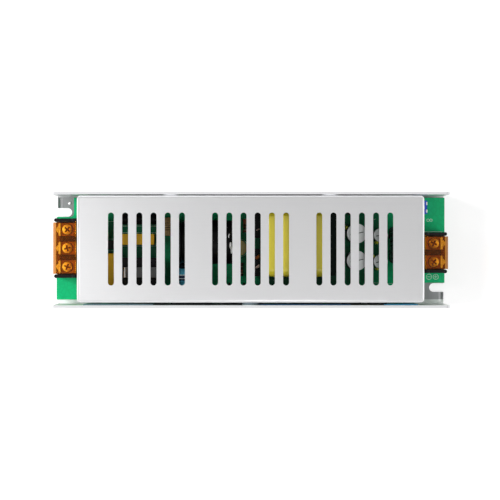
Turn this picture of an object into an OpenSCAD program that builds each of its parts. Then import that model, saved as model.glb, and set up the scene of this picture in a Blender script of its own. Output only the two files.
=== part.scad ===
// Slim enclosed LED power supply: folded channel, slotted lid, circuit board, two covered terminal blocks.
// Millimetres. X runs from the mains input end to the output end, Z is up, the channel stands on Z = 0.

/* [Case] */
// Overall length of the folded channel
case_l = 200; // [190:1:240]
// Overall width over the side walls
case_w = 58; // [56:0.5:70]
// Overall height of the side walls
case_h = 38; // [36:0.5:46]
// Sheet thickness of the channel
case_t = 1.2; // [1:0.1:1.6]
// Outer bend radius of the channel
case_bend = 2; // [1.8:0.1:3]
// Radius of the upper wall corners
wall_corner_r = 2; // [1:0.5:4]
// Width of the open mounting notches
notch_w = 4.4; // [4.2:0.1:5]
// Depth of the notches from the channel end
notch_depth = 7.4; // [6:0.1:9]
// Distance of the notches from the centre line
notch_y = 19.5; // [18:0.1:22]
// Width of the pressed grooves across the mounting feet
groove_w = 2; // [1.5:0.1:2.4]
// Depth of those grooves
groove_depth = 0.45; // [0.3:0.05:0.6]
// Distance of their middle from the channel end
groove_in = 1.5; // [1.3:0.1:2]
// Width of the punched dimple beside the input notch
dimple_d = 1.8; // [1:0.1:2.4]

/* [Lid] */
// Sheet thickness of the lid
lid_t = 1; // [0.8:0.1:1.2]
// Outer bend radius of the lid
lid_bend = 1.5; // [1.4:0.1:2]
// Radius of the lid corners in plan
lid_corner_r = 2.2; // [2:0.1:4]
// Distance from the channel end to the lid end
lid_setback = 13; // [12:0.5:16]
// Depth of the lid top below the wall tops
lid_drop = 0.5; // [0.3:0.1:1.5]
// Gap between the lid and the +Y wall
lid_gap_back = 0.45; // [0.3:0.05:1]
// Gap between the lid and the -Y wall
lid_gap_front = 1.35; // [1.2:0.05:2]
// Depth of the side flanges
lid_side_depth = 9; // [8:0.5:11]
// Depth of the end flanges
lid_end_depth = 7; // [4:0.5:8]
// Width of a vent slot
slot_w = 3; // [2:0.1:3.5]
// Length of a vent slot
slot_l = 36.5; // [24:0.5:42]
// Distance between slots in a group
slot_pitch = 7.1; // [6.5:0.1:7.6]
// Slots in a group
slot_count = 6; // [3:1:6]
// Distance between groups of slots
group_pitch = 52.1; // [48:0.1:54]

/* [Fasteners] */
// Thread diameter of every screw
screw_d = 3; // [2.5:0.1:3.2]
// Head diameter of the pan head screws
pan_d = 5.6; // [5:0.1:6]
// Head height of the pan head screws
pan_h = 2.2; // [1.6:0.1:2.4]
// Head diameter of the countersunk screws
csk_d = 5.4; // [5:0.1:5.8]
// Distance of the two back lid screws from the middle
lid_screw_x = 40; // [30:1:60]
// Distance of the lid screws below the lid top
lid_screw_drop = 5; // [4.5:0.1:5.5]

/* [Board] */
// Thickness of the circuit board
board_t = 1.6; // [1.2:0.1:2]
// Height of the pillars under the board
pillar_h = 4.8; // [4:0.1:6]
// Diameter of the pillars
pillar_d = 5.4; // [4.8:0.1:6]
// Distance of the pillars from the channel end
pillar_setback = 19.6; // [19:0.1:21]
// Distance of the pillars from the walls' outside
pillar_inset = 6.4; // [6.2:0.1:7.5]
// Gap between the board and the +Y wall
board_gap_back = 0.9; // [0.5:0.1:1.5]
// Gap between the board and the -Y wall
board_gap_front = 2.2; // [1.5:0.1:2.4]
// Gap between the board and the channel end
board_end_gap = 0.1; // [0:0.1:1]
// Length of the corner cut-out over the input notch
board_cut_in_l = 9; // [8:0.1:10]
// Length of the corner cut-out over the output notch
board_cut_out_l = 14; // [12:0.1:15]
// Distance of the cut-outs from the centre line
board_cut_y = 16.9; // [16.4:0.1:17.5]
// Thickness of the insulating sheet
film_t = 0.4; // [0.2:0.1:0.6]
// Distance from the channel end to the insulating sheet
film_setback = 16; // [15:0.5:20]
// Height of the turned-up side of the insulating sheet
film_h = 34; // [26:1:35]

/* [Terminals] */
// Distance between poles
pole_pitch = 9.5; // [9:0.1:10]
// Depth of a terminal block
term_depth = 14; // [13.5:0.1:15]
// Gap between a block front and the channel end
term_setback = 1; // [0.8:0.1:2]
// Height of the floor under the contacts
term_floor_h = 6; // [5.5:0.1:7]
// Thickness of the end walls
term_end_t = 1.6; // [1.4:0.1:2]
// Thickness of the barriers
barrier_t = 2.3; // [1.8:0.1:2.4]
// Height of the barriers above the floor
barrier_h = 11; // [10:0.1:12]
// Offset of the input block from the centre line
input_y = 0.9; // [-2:0.1:3]
// Offset of the output block from the centre line
output_y = -1.4; // [-3:0.1:2]
// Distance from a block front to the screw axes
term_screw_in = 5.5; // [5:0.1:6]
// Thickness of the contact plates
contact_t = 0.8; // [0.6:0.1:1]
// Thickness of the clamp plates
clamp_t = 1; // [0.8:0.1:1.2]
// Width of the clamp plates
clamp_w = 6.4; // [6:0.1:6.6]
// Thickness of the flip covers
flap_t = 1.2; // [1:0.1:1.4]
// Height of the front lip of the flip covers
flap_lip = 4.2; // [3.5:0.1:6]
// Thickness of the front lip
lip_t = 1; // [0.8:0.1:1.1]
// Distance from the block rear to the hinge axis
hinge_in = 4; // [3.9:0.1:4.5]
// Diameter of the hinge pegs
peg_d = 1.1; // [1:0.05:1.2]
// Diameter of the rolled rib on the clamp plates
rib_d = 1.4; // [1.2:0.1:1.6]
// Width of the round tongue of the clamp plates
tongue_w = 3.4; // [3:0.1:3.8]
// Radius of the posts at the front of the end walls
post_r = 0.95; // [0.85:0.05:1]

/* [Transformer] */
// Middle of the transformer along the board
tx_x = 24; // [22:0.1:25]
// Middle of the transformer across the board
tx_y = 3.4; // [2.5:0.1:4]
// Length of the winding
tx_coil_l = 30; // [28:0.1:31]
// Width of the winding
tx_coil_w = 34; // [30:0.5:34.5]
// Height of the winding
tx_coil_h = 23; // [21:0.5:25]
// Thickness of the end yokes
tx_yoke = 3.5; // [3:0.1:4]
// Height of the ferrite core
tx_core_h = 13; // [11:0.5:13.5]
// Width of the outer core legs
tx_leg = 4.4; // [3.5:0.1:4.8]
// Reach of the pin rails beyond the yokes
tx_rail = 2.9; // [2.2:0.1:3.4]

/* [Input filter] */
// Length of the large line capacitor
xcap_a_l = 10; // [8:0.5:11]
// Width of the large line capacitor
xcap_a_w = 18; // [15:0.5:18.5]
// Height of the large line capacitor
xcap_a_h = 16; // [12:0.5:18]
// Length of the small line capacitor
xcap_b_l = 18; // [15:0.5:19]
// Width of the small line capacitor
xcap_b_w = 5.4; // [5:0.1:6]
// Height of the small line capacitor
xcap_b_h = 11.5; // [10:0.5:14]
// Diameter of the thermistor disc
ntc_d = 11; // [9:0.5:12]
// Thickness of the thermistor disc
ntc_t = 4.5; // [3.5:0.1:5]
// Diameter of the varistor disc
mov_d = 12; // [10:0.5:13]
// Thickness of the varistor disc
mov_t = 4.5; // [3.5:0.1:5]
// Length of the sleeved fuse
fuse_l = 20.4; // [18:0.1:22]
// Diameter of the sleeved fuse
fuse_d = 6; // [5:0.1:6.5]
// Length of the line choke core
choke_l = 18.2; // [16:0.1:19]
// Height of the line choke core
choke_h = 16.6; // [15:0.1:19]
// Thickness of the line choke core
choke_t = 5.1; // [4:0.1:6]
// Outer diameter of the toroid choke
toroid_d = 9.5; // [9:0.5:11]
// Width of the toroid choke
toroid_w = 5.4; // [4.5:0.1:5.8]

/* [Capacitors] */
// Diameter of the bulk capacitor
bulk_d = 22.5; // [18:0.5:23]
// Length of the bulk capacitor
bulk_l = 28.8; // [24:0.1:30]
// Diameter of the auxiliary capacitor
aux_d = 10.5; // [8:0.5:11]
// Length of the auxiliary capacitor
aux_l = 17; // [14:0.5:20]
// Diameter of the small standing capacitor
small_d = 8; // [6.3:0.1:8.5]
// Height of the small standing capacitor
small_h = 12; // [9:0.5:15]
// Diameter of the large output capacitors
out_a_d = 10; // [8:0.1:11]
// Height of the large output capacitors
out_a_h = 20; // [16:0.5:23]
// Diameter of the small output capacitors
out_b_d = 7; // [6.3:0.1:8]
// Height of the small output capacitors
out_b_h = 15; // [11:0.5:20]
// Diameter of the output inductor
ind_d = 19; // [16:0.5:20]
// Width of the output inductor
ind_w = 9; // [7:0.1:9.5]

/* [Power devices] */
// Width of a power device
dev_w = 10; // [9.5:0.1:10.5]
// Height of a power device
dev_h = 15.6; // [15:0.1:16]
// Thickness of a power device
dev_t = 4.5; // [4:0.1:4.8]
// Thickness of the metal tab
dev_tab = 1.3; // [1:0.1:1.5]
// Length of the leads between device and board
dev_lead = 3; // [2:0.1:4]
// Position of the middle of the two switching transistors along the back wall
transistor_mid = -12; // [-16:0.5:-10]
// Distance between the switching transistors
transistor_pitch = 16; // [13:0.5:18]
// Distance from the output end to the middle of the two output rectifiers
rectifier_in = 42.5; // [38:0.5:46]
// Distance between the output rectifiers
rectifier_pitch = 13; // [12:0.5:15]
// Distance from a device's top to its fixing hole
dev_hole_drop = 2.9; // [2.7:0.1:3.1]
// Position of the bridge rectifier along the front wall
bridge_x = -30; // [-34:0.5:-28]
// Width of the bridge rectifier
bridge_w = 21; // [18:0.5:22]
// Height of the bridge rectifier
bridge_h = 16; // [14:0.5:16]
// Thickness of the bridge rectifier
bridge_t = 3.6; // [3.2:0.1:4.5]
// Distance from the bridge rectifier's top to its fixing hole
bridge_hole_drop = 4; // [3.5:0.1:5]

/* [Small parts] */
// Diameter of the resistors
res_d = 2.5; // [2:0.1:3]
// Length of the resistors
res_l = 6.4; // [5:0.1:7]
// Distance from the transformer to the back resistor's axis
res_back_gap = 4; // [3.5:0.1:4.4]
// Place of the back resistor across the board
res_back_y = 12.5; // [11:0.5:14]
// Distance from the transformer to the front resistor's axis
res_front_gap = 6.8; // [6:0.1:7.5]
// Place of the front resistor across the board
res_front_y = -10; // [-12:0.5:-9]
// Distance from the board's back edge to the row of small parts there
back_row_in = 5; // [4.6:0.1:5.4]
// Length of the controller chip
chip_l = 19.3; // [16:0.1:20]
// Pins on each side of the controller chip
chip_pins = 7; // [4:1:7]
// Width of the chip packages
chip_w = 6.4; // [6:0.1:6.6]
// Height of the chip packages
chip_h = 3.2; // [2.8:0.1:3.5]
// Distance between chip pins
chip_pitch = 2.54; // [2:0.01:2.54]
// Length of the optocoupler
opto_l = 4.6; // [4.4:0.1:5]
// Diameter of the Y capacitor
ycap_d = 8; // [6:0.5:9]
// Thickness of the Y capacitor
ycap_t = 3.6; // [3:0.1:4]
// Corner width of the nuts
nut_d = 6.2; // [5.8:0.1:6.4]
// Height of the nuts
nut_h = 2.4; // [1.8:0.1:2.6]
// Reach of the choke flanges beyond the core
choke_flange = 4.8; // [3:0.1:5]

/* [Trimmer] */
// Side of the square trimmer
trim_s = 6.9; // [6.5:0.1:7.2]
// Height of the trimmer body
trim_h = 4.8; // [4:0.1:6]
// Diameter of the rotor
trim_rotor_d = 4.4; // [3.5:0.1:4.8]

/* [Hidden] */
$fn = 48;
eps = 0.01;
fit = 0.06;          // radial clearance of shafts, pegs and screws
slack = 0.1;         // clearance between flat parts
case_in = case_w/2 - case_t;
case_end = case_l/2;

lid_l = case_l - 2*lid_setback;
lid_back = case_in - lid_gap_back;
lid_front = -case_in + lid_gap_front;
lid_w = lid_back - lid_front;
lid_y = (lid_back + lid_front)/2;
lid_top = case_h - lid_drop;
lid_screw_z = lid_top - lid_screw_drop;
lid_screws = [[-lid_screw_x, 1], [lid_screw_x, 1], [0, -1]];
csk_h = (csk_d - screw_d)/2;
lid_boss_d = csk_d + 3;

board_z = case_t + pillar_h;
board_top = board_z + board_t;
board_back = case_in - board_gap_back;
board_front = -case_in + board_gap_front;
board_l = case_l - 2*board_end_gap;
pillar_x = case_end - pillar_setback;
pillar_y = case_w/2 - pillar_inset;
film_l = case_l - 2*film_setback;

term_front = case_end - term_setback;
term_rear = term_front - term_depth;
floor_top = board_top + term_floor_h;
contact_top = floor_top + contact_t;
clamp_top = contact_top + clamp_t;
barrier_top = floor_top + barrier_h;
flap_under = barrier_top + 0.25;
flap_top = flap_under + flap_t;
barrel_r = flap_t/2;
ear_r = barrel_r + 0.9;
hinge_u = hinge_in;
hinge_z = flap_under + barrel_r;
screw_u = term_depth - term_screw_in;
back_top = hinge_z - barrel_r - 0.5;
flap_gap = 0.45;
leg_l = 3;

tx_l = tx_coil_l + 2*(1 + tx_yoke + tx_rail);
tx_left = tx_x - tx_l/2;
tx_right = tx_x + tx_l/2;
tx_coil_z = board_top + 0.8 + tx_coil_h/2;
small_x = tx_left - 3.5 - small_d/2;
small_y = 1;
bulk_right = small_x - small_d/2 - 0.5;
bulk_left = bulk_right - bulk_l;
bulk_y = 4;
aux_y = bulk_y - bulk_d/2 - 1.2 - aux_d/2;
aux_left = bulk_left + 1.2;
choke_leg = 4.2;
choke_coil = 1.7;
// Free length left and right of the power stage, shared out between the parts there
filter_room = bulk_left + term_rear;
line_gap = (filter_room - choke_l - 2*choke_coil - xcap_a_l)/14.2;
fuse_gap = (filter_room - toroid_w - xcap_b_l - ntc_d)/11.4;
out_gap = (term_rear - tx_right - out_a_d - out_b_d - ind_w)/12.6;
toroid_x = bulk_left - 0.5*fuse_gap - toroid_w/2;
toroid_y = 11.9;
toroid_left = toroid_x - toroid_w/2;
fuse_right = toroid_left - 1.1;
fuse_y = 16;
xcap_b_right = toroid_left - 4.15*fuse_gap;
xcap_b_y = fuse_y - fuse_d/2 - 4.9 - xcap_b_w/2;
ntc_x = xcap_b_right - xcap_b_l - 0.75*fuse_gap - ntc_d/2;
ntc_y = 2.6;
choke_x = bulk_left - 5.1*line_gap - choke_coil - choke_l/2;
choke_y = -11.4;
xcap_a_x = choke_x - choke_l/2 - choke_coil - 1.3*line_gap - xcap_a_l/2;
xcap_a_y = -1.8 - xcap_a_w/2;
mov_x = -term_rear + 2.6 + mov_t/2;
mov_y = 12.5;
out_a_x = tx_right + 2.3*out_gap + out_a_d/2;
out_b_x = out_a_x + out_a_d/2 + 3.9*out_gap + out_b_d/2;
out_a_y = [8.3, -5.4];
out_b_y = [7.5, -5.9];
ind_x = out_b_x + out_b_d/2 + out_gap + ind_w/2;
ind_y = 2.5;
trim_x = case_end - 12.9;
trim_y = board_back - 5.05;
dev_z = board_top + dev_lead;
dev_hole_z = dev_z + dev_h - dev_hole_drop;
bridge_z = board_top + dev_lead;
bridge_hole_z = bridge_z + bridge_h - bridge_hole_drop;
pad_t = 0.3;
transistor_x = [for (s = [-1, 1]) transistor_mid + s*transistor_pitch/2];
rectifier_x = [for (s = [-1, 1]) case_end - rectifier_in + s*rectifier_pitch/2];
res_z = board_top + res_d/2 + 0.35;

// Rectangle centred on the origin with rounded corners
module rounded_rect(w, h, r) {
  square([w - 2*r, h], center = true);
  square([w, h - 2*r], center = true);
  for (sx = [-1, 1], sy = [-1, 1])
    translate([sx*(w/2 - r), sy*(h/2 - r)])
      circle(r);
}

// Strip with two rounded lower corners, standing on y = 0
module round_bottom(w, h, r) {
  translate([-w/2, r])
    square([w, h - r]);
  translate([-w/2 + r, 0])
    square([w - 2*r, h]);
  for (s = [-1, 1])
    translate([s*(w/2 - r), r])
      circle(r);
}

// Straight slot with round ends along y
module stadium(w, l) {
  square([w, l - w], center = true);
  for (s = [-1, 1])
    translate([0, s*(l - w)/2])
      circle(w/2);
}

// Extrudes a y-z section along x, centred
module along_x(l) {
  translate([-l/2, 0, 0])
    rotate([90, 0, 90])
      linear_extrude(l)
        children();
}

// Extrudes an x-z section along y, centred
module along_y(l) {
  translate([0, l/2, 0])
    rotate([90, 0, 0])
      linear_extrude(l)
        children();
}

// Cylinder along x, centred
module bar_x(d, l) {
  rotate([0, 90, 0])
    cylinder(d = d, h = l, center = true);
}

// Cylinder along y, centred
module bar_y(d, l) {
  rotate([90, 0, 0])
    cylinder(d = d, h = l, center = true);
}

// Box on its lower face with rounded upright edges
module block(size, r) {
  linear_extrude(size[2])
    rounded_rect(size[0], size[1], r);
}

// Countersunk screw whose head face lies on z = 0 and whose shank points to -z
module csk_screw(l) {
  difference() {
    union() {
      translate([0, 0, -csk_h])
        cylinder(d1 = screw_d, d2 = csk_d, h = csk_h);
      translate([0, 0, -l])
        cylinder(d = screw_d, h = l - csk_h + eps);
    }
    for (a = [0, 90])
      rotate(a)
        translate([-1.5, -0.35, -0.9])
          cube([3, 0.7, 1]);
  }
}

// Hole for a countersunk screw, head face on z = 0
module csk_hole(depth) {
  translate([0, 0, -csk_h - fit])
    cylinder(d1 = screw_d + 2*fit, d2 = csk_d + 4*fit, h = csk_h + 2*fit);
  translate([0, 0, -depth])
    cylinder(d = screw_d + 2*fit, h = depth);
}

// Pan head screw whose head seats on z = 0 and whose shank points to -z
module pan_screw(l, turn, slotted) {
  rim = pan_h*0.45;
  dome_r = (pan_d*pan_d/4 + (pan_h - rim)*(pan_h - rim))/(2*(pan_h - rim));
  difference() {
    union() {
      cylinder(d = pan_d, h = rim);
      intersection() {
        translate([0, 0, rim - eps])
          cylinder(d = pan_d, h = pan_h);
        translate([0, 0, pan_h - dome_r])
          sphere(dome_r);
      }
      translate([0, 0, -l])
        cylinder(d = screw_d, h = l + eps);
    }
    for (a = [0, 90])
      rotate(turn + a)
        translate([-pan_d*0.3, -0.45, pan_h*0.35])
          cube([pan_d*0.6, 0.9, pan_h]);
    if (slotted)
      rotate(turn)
        translate([-pan_d, -0.4, pan_h*0.62])
          cube([2*pan_d, 0.8, pan_h]);
  }
}

// Places children on a side wall: z axis points out of the wall, y axis up
module on_wall(x, side, z) {
  translate([x, side*case_w/2, z])
    rotate([side*-90, 0, 0])
      children();
}

// Folded channel with open mounting notches, screw bosses and pillar seats
module base_channel() color("silver") {
  difference() {
    union() {
      along_x(case_l)
        difference() {
          round_bottom(case_w, case_h, case_bend);
          translate([0, case_t])
            round_bottom(2*case_in, case_h, case_bend - case_t);
        }
      for (s = lid_screws)
        lid_boss(s[0], s[1]);
    }
    for (s = lid_screws)
      on_wall(s[0], s[1], lid_screw_z)
        csk_hole(10);
    for (sx = [-1, 1])
      wall_ends(sx);
    for (s = [1, -1])
      rotate(s == 1 ? 0 : 180)
        notch();
    dimple();
    device_places()
      csk_hole(10);
    for (sx = [-1, 1], sy = [-1, 1])
      translate([sx*pillar_x, sy*pillar_y, -1])
        cylinder(d = pillar_d - 1.6 + 2*fit, h = case_t + 2);
  }
}

// Pressed boss that carries a lid flange
module lid_boss(x, side) {
  reach = case_t + (side > 0 ? lid_gap_back : lid_gap_front);
  on_wall(x, side, lid_screw_z)
    translate([0, 0, -reach])
      cylinder(d = lid_boss_d, h = reach - case_t/2);
}

// Rounds the upper corners of both walls at one end
module wall_ends(sx) {
  along_y(case_w + 2)
    translate([sx*(case_end - wall_corner_r), case_h - wall_corner_r])
      difference() {
        translate([sx > 0 ? 0 : -2*wall_corner_r, 0])
          square(2*wall_corner_r);
        circle(wall_corner_r);
      }
}

// Open mounting notch and the pressed groove across the foot, input end
module notch() {
  translate([-case_end - 1, notch_y - notch_w/2, -1])
    cube([notch_depth + 1 - notch_w/2, notch_w, case_t + 2]);
  translate([-case_end + notch_depth - notch_w/2, notch_y, -1])
    cylinder(d = notch_w, h = case_t + 2);
  groove_r = (groove_w*groove_w/4 + groove_depth*groove_depth)/(2*groove_depth);
  groove_back = case_in - 1;
  groove_front = notch_y - notch_w/2 - 2;
  translate([-case_end + groove_in, (groove_back + groove_front)/2, case_t - groove_depth + groove_r])
    bar_y(2*groove_r, groove_back - groove_front);
}

// Punched dimple between the input notch and the wall
module dimple() {
  depth = 0.35;
  dimple_r = (dimple_d*dimple_d/4 + depth*depth)/(2*depth);
  translate([-case_end + notch_depth - 1.1, notch_y + notch_w/2 + 2.4, case_t - depth + dimple_r])
    sphere(dimple_r);
}

// Screw places of the wall-mounted power devices
module device_places() {
  for (x = transistor_x)
    on_wall(x, 1, dev_hole_z)
      children();
  for (x = rectifier_x)
    on_wall(x, -1, dev_hole_z)
      children();
  on_wall(bridge_x, -1, bridge_hole_z)
    children();
}

// Section of the insulating sheet: floor strip, round corner and turned-up side
module film_section() {
  r = case_bend - case_t + film_t;
  edge = case_in - slack;
  translate([-edge + r, case_t])
    square([2*edge - r - 1.5, film_t]);
  translate([-edge, case_t + r])
    square([film_t, film_h - case_t - r]);
  translate([-edge + r, case_t + r])
    intersection() {
      difference() {
        circle(r);
        circle(r - film_t);
      }
      translate([-2*r, -2*r])
        square(2*r);
    }
}

// Insulating sheet on the channel floor with one side turned up along the front wall
module insulating_sheet() color("steelblue") {
  difference() {
    along_x(film_l)
      film_section();
    for (sx = [-1, 1], sy = [-1, 1])
      translate([sx*pillar_x, sy*pillar_y, 0])
        cylinder(d = pillar_d + 1, h = 3*case_t);
    on_wall(0, -1, lid_screw_z)
      cylinder(d = lid_boss_d + 1, h = 6*case_t, center = true);
    device_places()
      cylinder(d = screw_d + 0.4, h = 6*case_t, center = true);
  }
}

// Circuit board with cut corners over the notches
module circuit_board() color("seagreen") {
  r = 2;
  difference() {
    translate([-board_l/2, board_front, board_z])
      cube([board_l, board_back - board_front, board_t]);
    for (s = [1, -1])
      rotate(s == 1 ? 0 : 180)
        translate([0, 0, board_z - 1])
          linear_extrude(board_t + 2)
            translate([-case_end, board_cut_y + 20])
              rounded_rect(2*(s == 1 ? board_cut_in_l : board_cut_out_l), 40, r);
    for (sx = [-1, 1], sy = [-1, 1])
      translate([sx*pillar_x, sy*pillar_y, 0])
        cylinder(d = screw_d + 2*fit, h = 2*board_top);
    poles()
      translate([hinge_u + 0.2 - slack, -leg_l/2 - slack, 0])
        cube([contact_t + 2*slack, leg_l + 2*slack, board_top + 1]);
  }
}

// Tapped pillars pressed into the channel floor
module board_pillars() color("gainsboro") {
  for (sx = [-1, 1], sy = [-1, 1])
    translate([sx*pillar_x, sy*pillar_y, 0])
      difference() {
        union() {
          translate([0, 0, case_t])
            cylinder(d = pillar_d, h = pillar_h);
          translate([0, 0, 0.1])
            cylinder(d = pillar_d - 1.6, h = case_t);
        }
        translate([0, 0, -1])
          cylinder(d = screw_d + 2*fit, h = 2*board_top);
      }
}

// Pan head screws that hold the board on the pillars
module board_screws() color("gainsboro") {
  for (sx = [-1, 1], sy = [-1, 1])
    translate([sx*pillar_x, sy*pillar_y, board_top])
      pan_screw(board_t + pillar_h - 0.5, 40*sx + 15*sy, false);
}

// Solid outline of the lid, inset by the sheet thickness for its inside
module lid_form(inset) {
  r = lid_bend - inset;
  h = lid_side_depth - inset;
  intersection() {
    translate([0, lid_y, lid_top - inset])
      mirror([0, 0, 1])
        along_x(lid_l)
          round_bottom(lid_w - 2*inset, h, r);
    translate([0, lid_y, lid_top - inset])
      mirror([0, 0, 1])
        along_y(lid_w)
          round_bottom(lid_l - 2*inset, h, r);
    translate([0, lid_y, 0])
      linear_extrude(case_h)
        rounded_rect(lid_l - 2*inset, lid_w - 2*inset, lid_corner_r - inset);
  }
}

// Folded lid with three groups of vent slots
module top_lid() color("whitesmoke") {
  group_w = slot_pitch*(slot_count - 1);
  difference() {
    lid_form(0);
    lid_form(lid_t);
    translate([0, lid_y, lid_top - lid_side_depth - 1])
      linear_extrude(1.5)
        square([lid_l + 2, lid_w + 2], center = true);
    for (sx = [-1, 1])
      translate([sx*lid_l/2, lid_y, lid_top - lid_end_depth - 10])
        cube([2*(lid_corner_r + 0.6), lid_w + 2, 20], center = true);
    for (g = [-1:1], i = [0:slot_count - 1])
      translate([g*group_pitch - group_w/2 + i*slot_pitch, lid_y, lid_top - 2*lid_t])
        linear_extrude(3*lid_t)
          stadium(slot_w, slot_l);
    for (sx = [-1, 1], sy = [-1, 1])
      translate([sx*(lid_l/2 - lid_corner_r - 0.3), lid_y + sy*lid_w/2, lid_top - lid_bend - 10.2])
        cube([0.6, 2*lid_bend, 20], center = true);
    for (s = lid_screws)
      on_wall(s[0], s[1], lid_screw_z)
        cylinder(d = screw_d + 2*fit, h = 12, center = true);
  }
}

// Countersunk screws that hold the lid to the walls
module lid_screws_set() color("silver") {
  for (s = lid_screws)
    on_wall(s[0], s[1], lid_screw_z)
      csk_screw(6);
}

// Terminal frame: u runs outwards from the block rear, y across, z as in the part
module at_input() {
  translate([-term_rear, input_y, 0])
    mirror([1, 0, 0])
      children();
}

module at_output() {
  translate([term_rear, output_y, 0])
    children();
}

// Centre of pole i of n
function pole_y(i, n) = (i - (n - 1)/2)*pole_pitch;

// Children at every pole of both blocks
module poles() {
  at_input()
    for (i = [0:2])
      translate([0, pole_y(i, 3), 0])
        children();
  at_output()
    for (i = [0:1])
      translate([0, pole_y(i, 2), 0])
        children();
}

// Section of an end wall with the ear round the hinge
module end_section() {
  square([term_depth, floor_top - board_top]);
  square([term_depth - 1, back_top - board_top]);
  translate([hinge_u, hinge_z - board_top])
    circle(ear_r);
  translate([hinge_u - ear_r, floor_top - board_top])
    square([2*ear_r, hinge_z - floor_top]);
  translate([hinge_u, floor_top - board_top])
    square([term_depth - 3 - hinge_u, barrier_h]);
  translate([term_depth - 3, barrier_top - board_top - 3])
    circle(3);
  translate([hinge_u, floor_top - board_top])
    square([term_depth - hinge_u, barrier_h - 3]);
}

// Section of an inner barrier, lower under the hinge barrel and set back from the front
module barrier_section() {
  front = term_depth - 2.2;
  r = 2;
  square([front, back_top - board_top]);
  translate([hinge_u + barrel_r + 0.8, 0])
    square([front - r - hinge_u - barrel_r - 0.8, barrier_top - board_top]);
  square([front, barrier_top - board_top - r]);
  translate([front - r, barrier_top - board_top - r])
    circle(r);
}

// Sideways slab of a u-z section
module slab(y, t) {
  translate([0, y, board_top])
    along_y(t)
      children();
}

// Moulded barrier block of n poles
module term_body(n) {
  w = n*pole_pitch + term_end_t;
  difference() {
    union() {
      translate([0, -w/2, board_top])
        cube([term_depth, w, term_floor_h]);
      translate([0, -w/2, board_top])
        cube([1.5, w, back_top - board_top]);
      for (s = [-1, 1])
        slab(s*(w - term_end_t)/2, term_end_t)
          end_section();
      for (s = [-1, 1])
        translate([term_depth + 0.7 - post_r, s*(w - term_end_t)/2, board_top])
          cylinder(r = post_r, h = barrier_top - board_top - 1.5);
      if (n > 1)
        for (i = [1:n - 1])
          slab((i - n/2)*pole_pitch, barrier_t)
            barrier_section();
    }
    for (i = [0:n - 1])
      translate([0, pole_y(i, n), 0])
        pole_cuts();
    translate([hinge_u, 0, hinge_z])
      bar_y(peg_d + 2*fit, 2*w);
    for (i = [0:n])
      translate([term_depth, (i - n/2)*pole_pitch*(n - 0.25)/n, board_top - 1])
        cylinder(d = 1.6, h = term_floor_h - 0.8);
  }
}

// Screw well, leg slot and wire lead-in of one pole
module pole_cuts() {
  translate([screw_u, 0, floor_top - 5.2])
    cylinder(d = screw_d + 0.6, h = 6);
  translate([hinge_u + 0.2 - slack, -leg_l/2 - slack, board_top - 1])
    cube([contact_t + 2*slack, leg_l + 2*slack, term_floor_h + 2]);
  translate([term_depth, 0, floor_top])
    rotate([0, 45, 0])
      cube([1.1, clamp_w, 1.1], center = true);
}

// Contact plate with a solder leg through the board
module term_contact() {
  difference() {
    union() {
      translate([hinge_u + 0.2, -clamp_w/2 - 0.1, floor_top])
        cube([term_depth - 1.2 - hinge_u, clamp_w + 0.2, contact_t]);
      translate([hinge_u + 0.2, -leg_l/2, board_z - 1.5])
        cube([contact_t, leg_l, floor_top - board_z + 1.5 + eps]);
    }
    translate([screw_u, 0, floor_top - 1])
      cylinder(d = screw_d + 2*fit, h = 4);
  }
}

// Clamp plate with a rolled front rib and a round tongue
module term_clamp() {
  rib_u = screw_u + pan_d/2 + 0.35 + rib_d/2;
  front = rib_u + rib_d/2 + 0.15;
  rear = screw_u - pan_d/2 - 1.1;
  tongue_reach = 1.2;
  difference() {
    union() {
      translate([0, 0, contact_top])
        linear_extrude(clamp_t) {
          translate([(front + rear)/2, 0])
            rounded_rect(front - rear, clamp_w, 0.6);
          translate([front + tongue_reach - tongue_w/2, 0])
            circle(tongue_w/2);
        }
      translate([rib_u, 0, clamp_top])
        bar_y(rib_d, clamp_w - 0.6);
    }
    translate([screw_u, 0, contact_top - 1])
      cylinder(d = screw_d + 2*fit, h = 4);
  }
}

// Terminal screw with a combined cross and slot recess
module term_screw(turn) {
  translate([screw_u, 0, clamp_top])
    pan_screw(6.4, turn, true);
}

// Hinged finger guard over n poles
module term_flap(n) {
  w = n*pole_pitch + term_end_t - 2*term_end_t - 2*flap_gap;
  reach = case_end - term_rear;
  peg_l = w + 2*flap_gap + 2*term_end_t - 0.6;
  along_y(w) {
    translate([hinge_u, hinge_z])
      circle(barrel_r);
    translate([hinge_u, flap_under])
      square([reach - hinge_u - flap_t, flap_t]);
    translate([reach - flap_t, flap_under])
      intersection() {
        circle(flap_t);
        square(flap_t);
      }
    translate([reach - lip_t, flap_top - flap_lip])
      square([lip_t, flap_lip - flap_t]);
  }
  translate([hinge_u, 0, hinge_z])
    bar_y(peg_d, peg_l);
}

module input_body() color("dimgray") at_input()
  term_body(3);

module input_contacts() color("gainsboro") at_input()
  for (i = [0:2])
    translate([0, pole_y(i, 3), 0])
      term_contact();

module input_clamp(i) color("gainsboro") at_input()
  translate([0, pole_y(i - 1, 3), 0])
    term_clamp();

module input_screw(i) color("silver") at_input()
  translate([0, pole_y(i - 1, 3), 0])
    term_screw([20, 75, 130][i - 1]);

module input_flap() color("orange") at_input()
  term_flap(3);

module output_body() color("dimgray") at_output()
  term_body(2);

module output_contacts() color("gainsboro") at_output()
  for (i = [0:1])
    translate([0, pole_y(i, 2), 0])
      term_contact();

module output_clamp(i) color("gainsboro") at_output()
  translate([0, pole_y(i - 1, 2), 0])
    term_clamp();

module output_screw(i) color("silver") at_output()
  translate([0, pole_y(i - 1, 2), 0])
    term_screw([50, 155][i - 1]);

module output_flap() color("orange") at_output()
  term_flap(2);

// Two leads that stand a part off the board
module leads(dx, dy, h) {
  for (s = [-1, 1])
    translate([s*dx, s*dy, board_top])
      cylinder(d = 0.8, h = h);
}

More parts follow.
